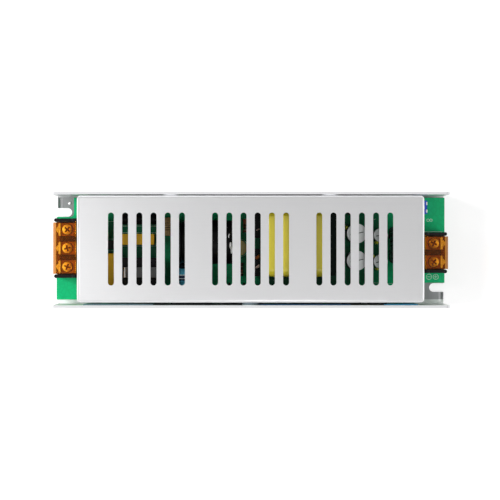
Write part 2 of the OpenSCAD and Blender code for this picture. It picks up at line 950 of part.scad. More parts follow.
// Lying can: crimped groove at the lead end, along x, lead end at -x
module lying_can(d, l) {
  groove = 0.22*d;
  translate([0, 0, board_top + d/2 + 0.3])
    rotate([0, 90, 0])
      rotate_extrude()
        difference() {
          translate([0, -l/2])
            square([d/2, l]);
          translate([d/2 + 0.35, -l/2 + groove])
            circle(0.9);
        }
  translate([-l/2 + 1.5, 0, board_top])
    cylinder(d = 0.9, h = d/2);
  translate([l/2 - 1.5, 0, board_top])
    cylinder(d = 0.9, h = d/2);
}

// Standing can with a crimped groove near the board and a recessed vented top
module standing_can(d, h) {
  difference() {
    translate([0, 0, board_top])
      rotate_extrude()
        difference() {
          square([d/2, h]);
          translate([d/2 + 0.25, 1.6])
            circle(0.7);
        }
    translate([0, 0, board_top + h - 0.3])
      cylinder(d = d - 1.4, h = 1);
    for (a = [0, 90])
      rotate(a + 12)
        translate([-d*0.34, -0.2, board_top + h - 0.6])
          cube([d*0.68, 0.4, 1]);
  }
}

// Standing disc on two leads
module disc_part(d, t) {
  translate([0, 0, board_top + 0.6 + d/2])
    intersection() {
      bar_y(d, t);
      sphere(d/2 + t*0.09);
    }
  leads(d*0.3, 0, d/2);
}

module line_fuse() color("black")
  translate([fuse_right - fuse_l/2, fuse_y, 0]) {
    translate([0, 0, board_top + fuse_d/2 + 0.3])
      bar_x(fuse_d, fuse_l);
    leads(fuse_l/2 - 1.5, 0, fuse_d/2);
  }

module thermistor() color("darkslategray")
  translate([ntc_x, ntc_y, 0])
    disc_part(ntc_d, ntc_t);

module varistor() color("royalblue")
  translate([mov_x, mov_y, 0])
    rotate(90)
      disc_part(mov_d, mov_t);

module x_capacitor_large() color("goldenrod")
  translate([xcap_a_x, xcap_a_y, board_top])
    block([xcap_a_l, xcap_a_w, xcap_a_h], 0.6);

module x_capacitor_small() color("goldenrod")
  translate([xcap_b_right - xcap_b_l/2, xcap_b_y, board_top])
    block([xcap_b_l, xcap_b_w, xcap_b_h], 0.6);

// Leg centres of the line choke
module choke_legs() {
  for (s = [-1, 1])
    translate([choke_x + s*(choke_l - choke_leg)/2, choke_y, 0])
      children();
}

// Closed ferrite frame of the line choke
module choke_core() color("gray")
  translate([choke_x, choke_y, board_top + 0.8])
    along_y(choke_t)
      difference() {
        translate([0, choke_h/2])
          rounded_rect(choke_l, choke_h, 0.5);
        translate([0, choke_h/2])
          square([choke_l - 2*choke_leg, choke_h - 2*choke_leg], center = true);
      }

// Two flanges and two sleeves round the choke legs
module choke_bobbin() color("black") {
  low = board_top + 0.8 + choke_leg + slack;
  high = board_top + 0.8 + choke_h - choke_leg - slack;
  difference() {
    union() {
      for (z = [low, high - 1])
        translate([choke_x, choke_y, z])
          block([choke_l + 2*choke_coil + 0.6, choke_t + 2*choke_flange, 1], 1);
      choke_legs()
        translate([0, 0, low])
          linear_extrude(high - low)
            square([choke_leg + 1, choke_t + 1], center = true);
      for (sx = [-1, 1], sy = [-1, 1])
        translate([choke_x + sx*choke_l/2, choke_y + sy*(choke_t/2 + 3.4), board_top])
          cylinder(d = 1, h = low - board_top + 0.5);
    }
    choke_legs()
      translate([0, 0, low - 1])
        linear_extrude(choke_h)
          square([choke_leg + 0.2, choke_t + 0.2], center = true);
  }
}

// Copper windings between the flanges
module choke_windings() color("peru") {
  low = board_top + 0.8 + choke_leg + slack + 1;
  h = choke_h - 2*choke_leg - 2*slack - 2;
  choke_legs()
    translate([0, 0, low + slack])
      linear_extrude(h - 2*slack)
        difference() {
          rounded_rect(choke_leg + 2*choke_coil, choke_t + 2*choke_coil, 1.2);
          square([choke_leg + 1.2, choke_t + 1.2], center = true);
        }
}

// Ring core standing on its rim, axis along x, with the wire layer kept clear
module ring_core(d, w, wire) {
  rotate([0, 90, 0])
    rotate_extrude()
      translate([d/4 + wire/2, -w/2 + wire + slack])
        square([d/4 - 1.5*wire - slack, w - 2*wire - 2*slack]);
}

// Wire layer round a ring core, open over a small arc at the foot
module ring_winding(d, w, wire) {
  inner = d/4 - wire/2 - slack;
  rotate([0, 90, 0])
    rotate(25)
      rotate_extrude(angle = 310)
        difference() {
          translate([inner, -w/2])
            square([d/2 - inner, w]);
          translate([inner + wire, -w/2 + wire])
            square([d/2 - inner - 2*wire, w - 2*wire]);
        }
}

module toroid_core() color("dimgray")
  translate([toroid_x, toroid_y, board_top + toroid_d/2])
    ring_core(toroid_d, toroid_w, 0.7);

module toroid_winding() color("peru") {
  translate([toroid_x, toroid_y, board_top + toroid_d/2])
    ring_winding(toroid_d, toroid_w, 0.7);
}

module bulk_capacitor() color("black")
  translate([(bulk_left + bulk_right)/2, bulk_y, 0])
    lying_can(bulk_d, bulk_l);

module auxiliary_capacitor() color("steelblue")
  translate([aux_left + aux_l/2, aux_y, 0])
    lying_can(aux_d, aux_l);

module small_capacitor() color("darkkhaki")
  translate([small_x, small_y, 0])
    standing_can(small_d, small_h);

module y_capacitor() color("royalblue")
  translate([tx_right + opto_l + 1.4 + ycap_d/2, board_back - back_row_in, 0])
    disc_part(ycap_d, ycap_t);

// Axial resistors lying across the board
module resistors() color("tan")
  for (p = [[tx_left - res_back_gap, res_back_y], [tx_left - res_front_gap, res_front_y]])
    translate([p[0], p[1], 0]) {
      translate([0, 0, res_z])
        bar_y(res_d, res_l);
      for (s = [-1, 1])
        translate([0, s*(res_l/2 - 0.5), res_z])
          bar_y(res_d + 0.4, 1.4);
      leads(0, res_l/2 - 0.5, res_d/2);
    }

// Dual in-line package lying along x, n pins a side
module dip(l, n) {
  translate([0, 0, board_top + 0.5])
    block([l, chip_w, chip_h], 0.2);
  for (i = [0:n - 1], s = [-1, 1])
    translate([(i - (n - 1)/2)*chip_pitch, s*(chip_w/2 + 0.4), board_top])
      translate([-0.3, -0.5, 0])
        cube([0.6, 1, chip_h*0.7]);
}

module controller_chip() color("black")
  translate([tx_left - 7.5, board_front + chip_w/2 + 1.4, 0])
    dip(chip_l, chip_pins);

module optocoupler() color("black")
  translate([tx_right + 0.7 + opto_l/2, board_back - back_row_in, 0])
    dip(opto_l, 2);

// Ferrite core: two yokes, two outer legs and a middle leg through the winding
module transformer_core() color("dimgray") {
  window = tx_coil_l + 2;
  l = window + 2*tx_yoke;
  w = tx_coil_w + 0.6 + 2*tx_leg;
  translate([tx_x, tx_y, tx_coil_z - tx_core_h/2]) {
    linear_extrude(tx_core_h)
      difference() {
        rounded_rect(l, w, 0.8);
        square([window, w - 2*tx_leg], center = true);
      }
    translate([0, 0, tx_core_h/2])
      bar_x(tx_core_h - 1.6, window + 2*eps);
  }
}

// Bobbin: sleeve, two end flanges and four pin rails
module transformer_bobbin() color("black") {
  sleeve = tx_core_h - 1.6 + 2;
  under = tx_coil_z - tx_core_h/2 - 0.4 - board_top;
  rail_w = (tx_coil_w - 5.6)/2;
  rail_l = 1 + tx_yoke + tx_rail;
  difference() {
    union() {
      translate([tx_x, tx_y, tx_coil_z])
        bar_x(sleeve, tx_coil_l + 1);
      for (s = [-1, 1])
        translate([tx_x + s*(tx_coil_l + 1)/2, tx_y, tx_coil_z])
          along_x(1 - slack)
            rounded_rect(tx_coil_w, tx_coil_h, 4);
      for (s = [-1, 1], r = [-1, 1])
        translate([tx_x + s*(tx_l - rail_l)/2, tx_y + r*(5.6 + rail_w)/2, board_top])
          block([rail_l, rail_w, under], 0.4);
    }
    translate([tx_x, tx_y, tx_coil_z])
      bar_x(sleeve - 2 + 0.2, tx_l);
  }
}

// Taped winding between the flanges
module transformer_winding() color("khaki")
  translate([tx_x, tx_y, tx_coil_z])
    along_x(tx_coil_l - 2*slack)
      difference() {
        rounded_rect(tx_coil_w, tx_coil_h, tx_coil_h*0.4);
        circle(d = tx_core_h + 0.6);
      }

// Power device against a wall: metal tab on y = 0, body towards -y
module power_device() {
  body_h = 9.2;
  difference() {
    union() {
      translate([-dev_w/2, -dev_t, dev_z])
        cube([dev_w, dev_t, body_h]);
      translate([-dev_w/2, -dev_tab, dev_z])
        cube([dev_w, dev_tab, dev_h]);
      for (i = [-1:1])
        translate([i*2.54 - 0.4, -dev_t/2 - 0.3, board_top])
          cube([0.8, 0.6, dev_lead + eps]);
    }
    translate([0, 0, dev_hole_z])
      bar_y(screw_d + 0.6, 4*dev_t);
  }
}

module switching_transistors() color("dimgray")
  for (x = transistor_x)
    translate([x, case_in - pad_t, 0])
      power_device();

module output_rectifiers() color("dimgray")
  for (x = rectifier_x)
    translate([x, -case_in + film_t + slack, 0])
      rotate(180)
        power_device();

// Flat four-lead bridge on the front wall
module bridge_rectifier() color("black")
  translate([bridge_x, -case_in + film_t + slack, 0])
    difference() {
      union() {
        translate([-bridge_w/2, 0, bridge_z])
          cube([bridge_w, bridge_t, bridge_h]);
        for (i = [0:3])
          translate([(i - 1.5)*5 - 0.5, bridge_t/2 - 0.4, board_top])
            cube([1, 0.8, dev_lead + eps]);
      }
      translate([0, 0, bridge_hole_z])
        bar_y(screw_d + 0.6, 4*bridge_t);
    }

// Soft pads between the transistors and the wall
module thermal_pads() color("lightgray")
  for (x = transistor_x)
    difference() {
      translate([x - dev_w/2 - 1, case_in - pad_t, dev_z - 1])
        cube([dev_w + 2, pad_t, dev_h + 2]);
      translate([x, case_in, dev_hole_z])
        bar_y(screw_d + 0.6, 4);
    }

// Screws through the walls and the power devices
module device_screws() color("silver") {
  l = case_t + 8;
  device_places()
    csk_screw(l);
}

// Hexagon nuts inside the power devices
module device_nuts() color("silver") {
  for (x = transistor_x)
    wall_nut(x, 1, dev_hole_z, pad_t + dev_tab);
  for (x = rectifier_x)
    wall_nut(x, -1, dev_hole_z, film_t + slack + dev_tab);
  wall_nut(bridge_x, -1, bridge_hole_z, film_t + slack + bridge_t);
}

// Nut at a depth behind the inside of a wall
module wall_nut(x, side, z, depth) {
  on_wall(x, side, z)
    translate([0, 0, -case_t - depth - nut_h])
      difference() {
        cylinder(d = nut_d, h = nut_h, $fn = 6);
        translate([0, 0, -1])
          cylinder(d = screw_d + 2*fit, h = nut_h + 2);
      }
}

module output_capacitors_large() color("slategray")
  for (y = out_a_y)
    translate([out_a_x, y, 0])
      standing_can(out_a_d, out_a_h);

module output_capacitors_small() color("slategray")
  for (y = out_b_y)
    translate([out_b_x, y, 0])
      standing_can(out_b_d, out_b_h);

module inductor_core() color("darkolivegreen")
  translate([ind_x, ind_y, board_top + ind_d/2])
    ring_core(ind_d, ind_w, 1.2);

module inductor_winding() color("peru")
  translate([ind_x, ind_y, board_top + ind_d/2])
    ring_winding(ind_d, ind_w, 1.2);

// Square trimmer body with a round well for its rotor
module trimmer_body() color("royalblue")
  translate([trim_x, trim_y, board_top])
    difference() {
      block([trim_s, trim_s, trim_h], 0.4);
      translate([0, 0, trim_h - 1.8])
        cylinder(d = trim_rotor_d + 2*fit, h = 3);
      for (s = [-1, 1])
        translate([trim_s/2, s*trim_s*0.28, trim_h - 0.6])
          cube([1.2, 1.6, 1.4], center = true);
    }

// Slotted trimmer rotor
module trimmer_rotor() color("white")
  translate([trim_x, trim_y, board_top + trim_h - 1.7])
    difference() {
      cylinder(d = trim_rotor_d, h = 1.9);
      translate([-trim_rotor_d, -0.4, 1])
        cube([2*trim_rotor_d, 0.8, 2]);
    }

base_channel();
insulating_sheet();
circuit_board();
board_pillars();
board_screws();
top_lid();
lid_screws_set();
input_body();
input_contacts();
input_clamp(1);  // input_clamp_1
input_clamp(2);  // input_clamp_2
input_clamp(3);  // input_clamp_3
input_screw(1);  // input_screw_1
input_screw(2);  // input_screw_2
input_screw(3);  // input_screw_3
input_flap();
output_body();
output_contacts();
output_clamp(1);  // output_clamp_1
output_clamp(2);  // output_clamp_2
output_screw(1);  // output_screw_1
output_screw(2);  // output_screw_2
output_flap();
line_fuse();
thermistor();
varistor();
x_capacitor_large();
x_capacitor_small();
choke_core();
choke_bobbin();
choke_windings();
toroid_core();
toroid_winding();
bulk_capacitor();
auxiliary_capacitor();
small_capacitor();
y_capacitor();
resistors();
controller_chip();
optocoupler();
transformer_core();
transformer_bobbin();
transformer_winding();
switching_transistors();
output_rectifiers();
bridge_rectifier();
thermal_pads();
device_screws();
device_nuts();
output_capacitors_large();
output_capacitors_small();
inductor_core();
inductor_winding();
trimmer_body();
trimmer_rotor();
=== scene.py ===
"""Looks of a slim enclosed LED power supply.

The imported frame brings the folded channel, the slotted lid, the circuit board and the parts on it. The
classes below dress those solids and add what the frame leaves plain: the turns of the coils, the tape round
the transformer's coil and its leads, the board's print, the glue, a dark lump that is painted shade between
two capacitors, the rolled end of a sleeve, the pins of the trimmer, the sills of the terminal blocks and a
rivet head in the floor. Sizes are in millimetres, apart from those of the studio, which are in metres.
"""

import logging
import math
from collections.abc import Iterable, Sequence
from dataclasses import dataclass, field, replace
from enum import Enum
from functools import lru_cache

import bmesh
import bpy
from mathutils import Matrix, Vector, noise


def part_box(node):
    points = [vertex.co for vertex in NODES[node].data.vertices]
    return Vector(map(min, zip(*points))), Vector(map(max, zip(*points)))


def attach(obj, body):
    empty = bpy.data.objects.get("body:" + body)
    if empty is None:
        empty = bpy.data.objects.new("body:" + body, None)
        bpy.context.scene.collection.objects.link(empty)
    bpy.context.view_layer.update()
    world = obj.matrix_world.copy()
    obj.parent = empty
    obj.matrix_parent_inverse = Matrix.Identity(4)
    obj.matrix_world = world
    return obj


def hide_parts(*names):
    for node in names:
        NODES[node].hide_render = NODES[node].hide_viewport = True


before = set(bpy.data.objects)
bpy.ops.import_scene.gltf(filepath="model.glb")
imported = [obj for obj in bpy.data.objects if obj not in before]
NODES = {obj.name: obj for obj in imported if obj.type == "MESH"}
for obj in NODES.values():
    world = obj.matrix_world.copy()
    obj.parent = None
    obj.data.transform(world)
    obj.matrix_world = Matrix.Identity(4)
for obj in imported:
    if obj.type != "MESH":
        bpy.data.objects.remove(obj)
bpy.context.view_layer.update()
MM = 0.001
log = logging.getLogger("power_supply")

Colour = tuple[int, int, int]
Shade = tuple[float, float, float, float]
Pair = tuple[float, float]
Triple = tuple[float, float, float]
Socket = bpy.types.NodeSocket
WHITE: Shade = (1.0, 1.0, 1.0, 1.0)


def linear(colour: Colour, gain: float = 1.0) -> Shade:
    """Turns a display colour into the linear one that a shader takes.

    Args:
        colour: Red, green and blue from 0 to 255.
        gain: Factor on the linear colour.

    Returns:
        Linear red, green, blue and an alpha of 1.
    """
    parts = [c / 255 for c in colour]
    bright = [c / 12.92 if c <= 0.04045 else ((c + 0.055) / 1.055) ** 2.4 for c in parts]
    return (bright[0] * gain, bright[1] * gain, bright[2] * gain, 1.0)


class Axis(Enum):
    """What a zone of a finish is measured along."""

    X = "X"
    Y = "Y"
    Z = "Z"
    UP = "up"


@dataclass(frozen=True)
class Zone:
    """A stretch of a surface that looks different from the rest.

    It covers the places whose measure along the axis lies between low and high. The measure is in
    millimetres, or for UP the share by which the surface faces upwards. Where a second stretch is given, a
    place lies within both.
    """

    axis: Axis
    low: float
    high: float
    colour: Colour
    rough: float = 0.5
    metal: float = 0.0
    within: tuple[Axis, float, float] | None = None


class Mixed(Enum):
    """What a mix node mixes: its data type, and its sockets for both values and the result."""

    NUMBER = ("FLOAT", 2, 3, 0)
    COLOUR = ("RGBA", 6, 7, 2)


class Graph:
    """A node tree, with short ways to add and join its nodes."""

    def __init__(self, tree: bpy.types.NodeTree) -> None:
        """Takes the node tree that it adds to."""
        self.tree = tree

    def add(self, kind: str, **settings: object) -> bpy.types.Node:
        """Adds a node.

        Args:
            kind: The node's type.
            settings: Its properties.

        Returns:
            The new node.
        """
        node = self.tree.nodes.new(kind)
        for name, value in settings.items():
            setattr(node, name, value)
        return node

    def feed(self, socket: Socket, value: object) -> None:
        """Links a socket to another one, or sets its plain value.

        Args:
            socket: The socket to feed.
            value: A socket, or a number or colour.
        """
        if isinstance(value, Socket):
            self.tree.links.new(value, socket)
        else:
            socket.default_value = value

    def join(self, node: bpy.types.Node, *values: object) -> Socket:
        """Feeds a node's sockets in order.

        Args:
            node: The node to feed.
            values: Sockets, numbers or colours.

        Returns:
            The node's first result.
        """
        for socket, value in zip(node.inputs, values):
            self.feed(socket, value)
        return node.outputs[0]

    def math(self, operation: str, *values: object) -> Socket:
        """Works out a number from sockets or plain numbers."""
        return self.join(self.add("ShaderNodeMath", operation=operation), *values)

    def mix(self, kind: Mixed, share: object, under: object, over: object) -> Socket:
        """Mixes two values.

        Args:
            kind: Whether they are numbers or colours.
            share: Share of the second value, from 0 to 1.
            under: The first value.
            over: The second value.

        Returns:
            The mixed value.
        """
        data_type, first, second, result = kind.value
        node = self.add("ShaderNodeMix", data_type=data_type)
        self.feed(node.inputs[0], share)
        self.feed(node.inputs[first], under)
        self.feed(node.inputs[second], over)
        return node.outputs[result]

    def layer(self, share: object, under: Socket, over: Socket) -> Socket:
        """Mixes two shaders by a share and returns the shader."""
        return self.join(self.add("ShaderNodeMixShader"), share, under, over)

    def seen(self) -> Socket:
        """Tells what is looked at from what only gives soft light.

        Returns:
            1 for what the camera, a mirror or clear plastic sees, and 0 elsewhere.
        """
        rays = self.add("ShaderNodeLightPath").outputs
        direct = self.math("MAXIMUM", rays["Is Camera Ray"], rays["Is Glossy Ray"])
        return self.math("MAXIMUM", direct, rays["Is Transmission Ray"])


class SurfaceGraph(Graph):
    """The node tree of a new material, whose patterns lie in the shared frame."""

    noise_middle = (0.25, 0.75)

    def __init__(self, name: str) -> None:
        """Starts a material that has one shader.

        Args:
            name: The material's name.
        """
        self.material = bpy.data.materials.new(name)
        self.material.use_nodes = True
        super().__init__(self.material.node_tree)
        self.shader = self.tree.nodes["Principled BSDF"]
        self.place = self.add("ShaderNodeTexCoord").outputs["Object"]

    def set(self, name: str, value: object) -> None:
        """Feeds one of the shader's own sockets."""
        self.feed(self.shader.inputs[name], value)

    def noise(self, size: float, detail: float = 2.0, stretch: Sequence[float] = (1, 1, 1)) -> Socket:
        """Adds soft noise.

        Args:
            size: Width of one patch in millimetres.
            detail: How many finer layers lie on it.
            stretch: Length of a patch along X, Y and Z, in patch widths.

        Returns:
            The noise from 0 to 1.
        """
        mapping = self.add("ShaderNodeMapping")
        self.feed(mapping.inputs["Vector"], self.place)
        self.feed(mapping.inputs["Scale"], [1 / s for s in stretch])
        node = self.add("ShaderNodeTexNoise")
        self.feed(node.inputs["Vector"], mapping.outputs[0])
        self.feed(node.inputs["Scale"], 1 / (size * MM))
        self.feed(node.inputs["Detail"], detail)
        return node.outputs[0]

    def spread(self, value: Socket, low: float = 0.0, high: float = 1.0) -> Socket:
        """Spreads the middle of a noise over a range.

        Args:
            value: The noise.
            low: Lower end of the range.
            high: Upper end of the range.

        Returns:
            The spread noise.
        """
        return self.join(self.add("ShaderNodeMapRange"), value, *self.noise_middle, low, high)

    def along(self, axis: Axis) -> Socket:
        """Measures the surface along an axis.

        Args:
            axis: The axis of a zone.

        Returns:
            The measure.
        """
        split = self.add("ShaderNodeSeparateXYZ")
        if axis is Axis.UP:
            self.feed(split.inputs[0], self.add("ShaderNodeNewGeometry").outputs["Normal"])
            return split.outputs["Z"]
        self.feed(split.inputs[0], self.place)
        return split.outputs[axis.value]

    def band(self, axis: Axis, low: float, high: float) -> Socket:
        """Marks a stretch along an axis.

        Args:
            axis: What it is measured along.
            low: Where it starts.
            high: Where it ends.

        Returns:
            1 on the stretch and 0 elsewhere.
        """
        measure = self.along(axis)
        unit = 1 if axis is Axis.UP else MM
        above = self.math("GREATER_THAN", measure, low * unit)
        below = self.math("LESS_THAN", measure, high * unit)
        return self.math("MULTIPLY", above, below)

    def cover(self, zone: Zone) -> Socket:
        """Marks a zone.

        Args:
            zone: The zone.

        Returns:
            1 on the zone and 0 elsewhere.
        """
        covered = self.band(zone.axis, zone.low, zone.high)
        if zone.within:
            covered = self.math("MULTIPLY", covered, self.band(*zone.within))
        return covered

    def bump(self, height: Socket, depth: float) -> None:
        """Raises the surface.

        Args:
            height: Where it is raised, from 0 to 1.
            depth: By how many millimetres.
        """
        node = self.add("ShaderNodeBump")
        self.feed(node.inputs["Distance"], depth * MM)
        self.feed(node.inputs["Height"], height)
        self.set("Normal", node.outputs[0])


@dataclass(frozen=True)
class Finish:
    """A surface: its colour, its shine, and the unevenness that a real one shows up close."""

    name: str
    colour: Colour
    rough: float = 0.5
    metal: float = 0.0
    mottle: float = 0.1
    patch: float = 1.0
    stretch: Triple = (1, 1, 1)
    relief: float = 0.01
    relief_size: float = 0.3
    uneven: float = 0.12
    coat: float = 0.0
    coat_rough: float = 0.15
    shine: float = 0.5
    zones: tuple[Zone, ...] = ()

    def mottled(self, graph: SurfaceGraph, share: Socket) -> Socket:
        """Varies the colour.

        Args:
            graph: The material's node tree.
            share: Where the colour is pale, from 0 to 1.

        Returns:
            The uneven colour.
        """
        dark, pale = (linear(self.colour, 1 + change) for change in (-self.mottle, self.mottle))
        return graph.mix(Mixed.COLOUR, share, dark, pale)

    def paint(self, graph: SurfaceGraph) -> None:
        """Sets colour, shine and relief of the shader.

        Args:
            graph: The material's node tree.
        """
        patches = graph.noise(self.patch, detail=3.0, stretch=self.stretch)
        colour = self.mottled(graph, graph.spread(patches))
        rough = graph.spread(patches, self.rough * (1 - self.uneven), self.rough * (1 + self.uneven))
        metal: object = self.metal
        for zone in self.zones:
            covered = graph.cover(zone)
            colour = graph.mix(Mixed.COLOUR, covered, colour, linear(zone.colour))
            rough = graph.mix(Mixed.NUMBER, covered, rough, zone.rough)
            if zone.metal != self.metal:
                metal = graph.mix(Mixed.NUMBER, covered, metal, zone.metal)
        graph.set("Base Color", colour)
        graph.set("Roughness", rough)
        graph.set("Metallic", metal)
        graph.set("Specular IOR Level", self.shine)
        graph.set("Coat Weight", self.coat)
        graph.set("Coat Roughness", self.coat_rough)
        graph.bump(graph.noise(self.relief_size, stretch=self.stretch), self.relief)


@dataclass(frozen=True)
class AmberFinish(Finish):
    """Clear tinted plastic with a slight haze, thicker on the shoulder, and a pale matt share at the lip
    that is a painted reflection of its rounded edge.
    """

    lamp_tint: Colour = (255, 222, 150)
    bend: float = 1.27
    haze: float = 0.07
    haze_colour: Colour = (137, 69, 10)
    shoulder: float = 96.4
    shoulder_haze: float = 0.25
    lip: float = 98.65
    lip_reflection_share: float = 0.75
    lip_reflection_colour: Colour = (174, 125, 78)

    def paint(self, graph: SurfaceGraph) -> None:
        """Sets the tint, and lets lamp light through in a paler one.

        Args:
            graph: The material's node tree.
        """
        graph.set("Base Color", linear(self.colour))
        graph.set("Roughness", self.rough)
        graph.set("Transmission Weight", 1.0)
        graph.set("IOR", self.bend)
        graph.bump(graph.noise(self.relief_size, detail=1.0), self.relief)
        passing = graph.join(graph.add("ShaderNodeBsdfTransparent"), linear(self.lamp_tint))
        lamp_light = graph.add("ShaderNodeLightPath").outputs["Is Shadow Ray"]
        plastic = graph.layer(lamp_light, self.cloud(graph), passing)
        graph.feed(graph.tree.nodes["Material Output"].inputs["Surface"], plastic)

    def cloud(self, graph: SurfaceGraph) -> Socket:
        """Lays the haze over the clear shader, with the painted reflection at the lip.

        Args:
            graph: The material's node tree.

        Returns:
            The shader of the hazy plastic.
        """
        out = graph.math("ABSOLUTE", graph.along(Axis.X))
        on_shoulder = graph.math("GREATER_THAN", out, self.shoulder * MM)
        at_lip = graph.math("GREATER_THAN", out, self.lip * MM)
        share = graph.mix(Mixed.NUMBER, on_shoulder, self.haze, self.shoulder_haze)
        share = graph.mix(Mixed.NUMBER, at_lip, share, self.lip_reflection_share)
        colour = graph.mix(Mixed.COLOUR, at_lip, linear(self.haze_colour), linear(self.lip_reflection_colour))
        matt = graph.join(graph.add("ShaderNodeBsdfDiffuse"), colour)
        return graph.layer(share, graph.shader.outputs[0], matt)


@dataclass(frozen=True)
class BoardFinish(Finish):
    """Green solder mask with tracks showing faintly through it, darker in its zones, which are painted
    shade.
    """

    track: float = 2.6
    track_lift: float = 0.1
    track_gap: float = 0.08

    def paint(self, graph: SurfaceGraph) -> None:
        """Sets the mask's green, the tracks under it and its shine.

        Args:
            graph: The material's node tree.
        """
        cells = graph.add("ShaderNodeTexVoronoi", feature="DISTANCE_TO_EDGE", distance="MANHATTAN")
        graph.feed(cells.inputs["Vector"], graph.place)
        graph.feed(cells.inputs["Scale"], 1 / (self.track * MM))
        on_track = graph.math("GREATER_THAN", cells.outputs["Distance"], self.track_gap)
        mask = self.mottled(graph, graph.spread(graph.noise(self.patch)))
        colour = graph.mix(Mixed.COLOUR, on_track, linear(self.colour, 1 - self.track_lift), mask)
        for zone in self.zones:
            colour = graph.mix(Mixed.COLOUR, graph.cover(zone), colour, linear(zone.colour))
        graph.set("Base Color", colour)
        graph.set("Roughness", self.rough)
        graph.set("Specular IOR Level", self.shine)
        graph.bump(on_track, self.relief)


# The zones of the lid are its two long folds, toned matt so that they show a painted highlight along the
# bends.
LID = Finish(
    "lid_aluminium", (244, 244, 245), rough=0.3, metal=1.0, mottle=0.012, patch=0.25, stretch=(60, 1, 1),
    relief=0.001, relief_size=0.12, uneven=0.05,
    zones=(Zone(Axis.Y, 26.5, 27.5, (210, 210, 212)),
           Zone(Axis.Y, -26.6, -25.7, (212, 212, 214))))
# The zones of the channel are the walls' top edges; the floor, toned darker, partly as a duller floor
# finish and partly as painted shade of the deep floor; the front wall's inner face, pale with a green tint
# as painted light and a painted reflection of the board; and its boss, dulled as painted shade.
CHANNEL = Finish(
    "channel_aluminium", (230, 231, 233), rough=0.35, metal=0.35, mottle=0.02, patch=0.3,
    stretch=(50, 1, 50), relief=0.002, relief_size=0.15,
    zones=(Zone(Axis.Z, 37.8, 38.1, (184, 184, 186), rough=0.7),
           Zone(Axis.Z, -0.1, 1.4, (184, 185, 186), metal=0.9),
           Zone(Axis.Y, -27.9, -25.6, (232, 238, 234), rough=0.35, metal=0.1),
           Zone(Axis.Y, -27.7, -25.6, (92, 104, 110), rough=0.6, metal=0.2, within=(Axis.Z, 18, 37))))
# The zones of the film are stretches of the gap along the front wall: the first is toned paler as painted
# light, and the others darker as painted shade cast by the parts beside it.
FILM = Finish(
    "blue_film", (52, 132, 176), rough=0.3, mottle=0.15, patch=9, relief=0.05, relief_size=5,
    zones=(Zone(Axis.X, -100, -49, (104, 128, 142), rough=0.35),
           Zone(Axis.X, -49, -1, (32, 36, 40), rough=0.4),
           Zone(Axis.X, -1, 50.2, (26, 66, 106), rough=0.35),
           Zone(Axis.X, 50.2, 67, (20, 26, 28), rough=0.4)))
STEEL = Finish("bright_steel", (205, 204, 200), rough=0.26, metal=1.0, mottle=0.05, patch=0.8)
# Near-white steel for the floor's rivet: a painted glint.
GLINT_STEEL = Finish("painted_glint_steel", (250, 250, 250), rough=0.5, metal=0.2, mottle=0.04, patch=0.5)
# The zones of the screws are a dark band round the lower side of the head and a thin dark ring on its dome:
# painted shade.
NICKEL = Finish(
    "nickel_screw", (252, 248, 240), rough=0.4, metal=0.3, mottle=0.06, patch=0.7,
    zones=(Zone(Axis.Z, 15.2, 16.6, (104, 80, 50), metal=0.6),
           Zone(Axis.Z, 16.92, 16.97, (150, 128, 96), metal=0.6)))
TIN = Finish("tinned_brass", (170, 136, 96), rough=0.35, metal=1.0, mottle=0.07, relief=0.02)
BLACK = Finish(
    "black_moulding", (14, 14, 15), rough=0.5, mottle=0.25, patch=0.5, relief=0.012, relief_size=0.2,
    shine=0.25)
AMBER = AmberFinish("amber_cover", (255, 190, 56), rough=0.03, relief=0.0004, relief_size=3)
# The zones of the board are darker stretches under the lid: painted shade among the tall parts.
MASK = BoardFinish(
    "solder_mask", (6, 175, 110), rough=0.45, mottle=0.08, patch=14, shine=0.3, relief=0.015,
    zones=(Zone(Axis.X, -73, -45, (6, 104, 66)), Zone(Axis.X, 44, 66, (6, 131, 83))))
PRINT = Finish("board_print", (198, 222, 208), rough=0.6, mottle=0.08, patch=0.4)
MUSTARD = Finish(
    "mustard_box", (236, 180, 12), rough=0.45, mottle=0.06, patch=3, relief=0.02, relief_size=0.5)
SHRINK = Finish(
    "black_sleeve", (9, 9, 10), rough=0.3, mottle=0.2, patch=3, relief=0.04, relief_size=2.5, shine=0.12)
DISC = Finish(
    "dark_epoxy_disc", (16, 20, 18), rough=0.4, mottle=0.2, patch=1.5, relief=0.06, relief_size=1.2,
    shine=0.2)
BLUE_DISC = Finish(
    "blue_epoxy_disc", (24, 78, 150), rough=0.35, mottle=0.15, patch=1.5, coat=0.4, relief=0.06,
    relief_size=1.2)
FERRITE = Finish("ferrite", (92, 92, 92), rough=0.6, mottle=0.15, patch=0.5, relief=0.03)
DARK_FERRITE = Finish(
    "dark_ferrite", (14, 17, 15), rough=0.6, mottle=0.2, patch=0.5, relief=0.03, shine=0.15)
# The transformer's core is toned dark green, and its front leg, in the zone, a lighter green.
GREEN_FERRITE = replace(
    DARK_FERRITE, name="green_ferrite", colour=(12, 24, 19),
    zones=(Zone(Axis.Y, -22, -13, (17, 56, 39)),))
ENAMEL = Finish("enamelled_copper", (190, 160, 110), rough=0.35, metal=0.3, mottle=0.15)
DARK_ENAMEL = Finish("dark_enamelled_copper", (16, 56, 40), rough=0.35, mottle=0.2)
LEAD_WIRE = Finish("bright_enamelled_copper", (236, 128, 52), rough=0.3, metal=0.3, mottle=0.12)
PALE_WIRE = Finish("pale_sleeved_wire", (232, 198, 182), rough=0.4, mottle=0.06)
TAPE = Finish(
    "yellow_tape", (255, 240, 66), rough=0.35, mottle=0.06, patch=4, stretch=(1, 8, 1), relief=0.03,
    relief_size=2, coat=0.8)
PALE_GLUE = Finish("white_glue", (250, 250, 248), rough=0.4, mottle=0.04, coat=0.4)
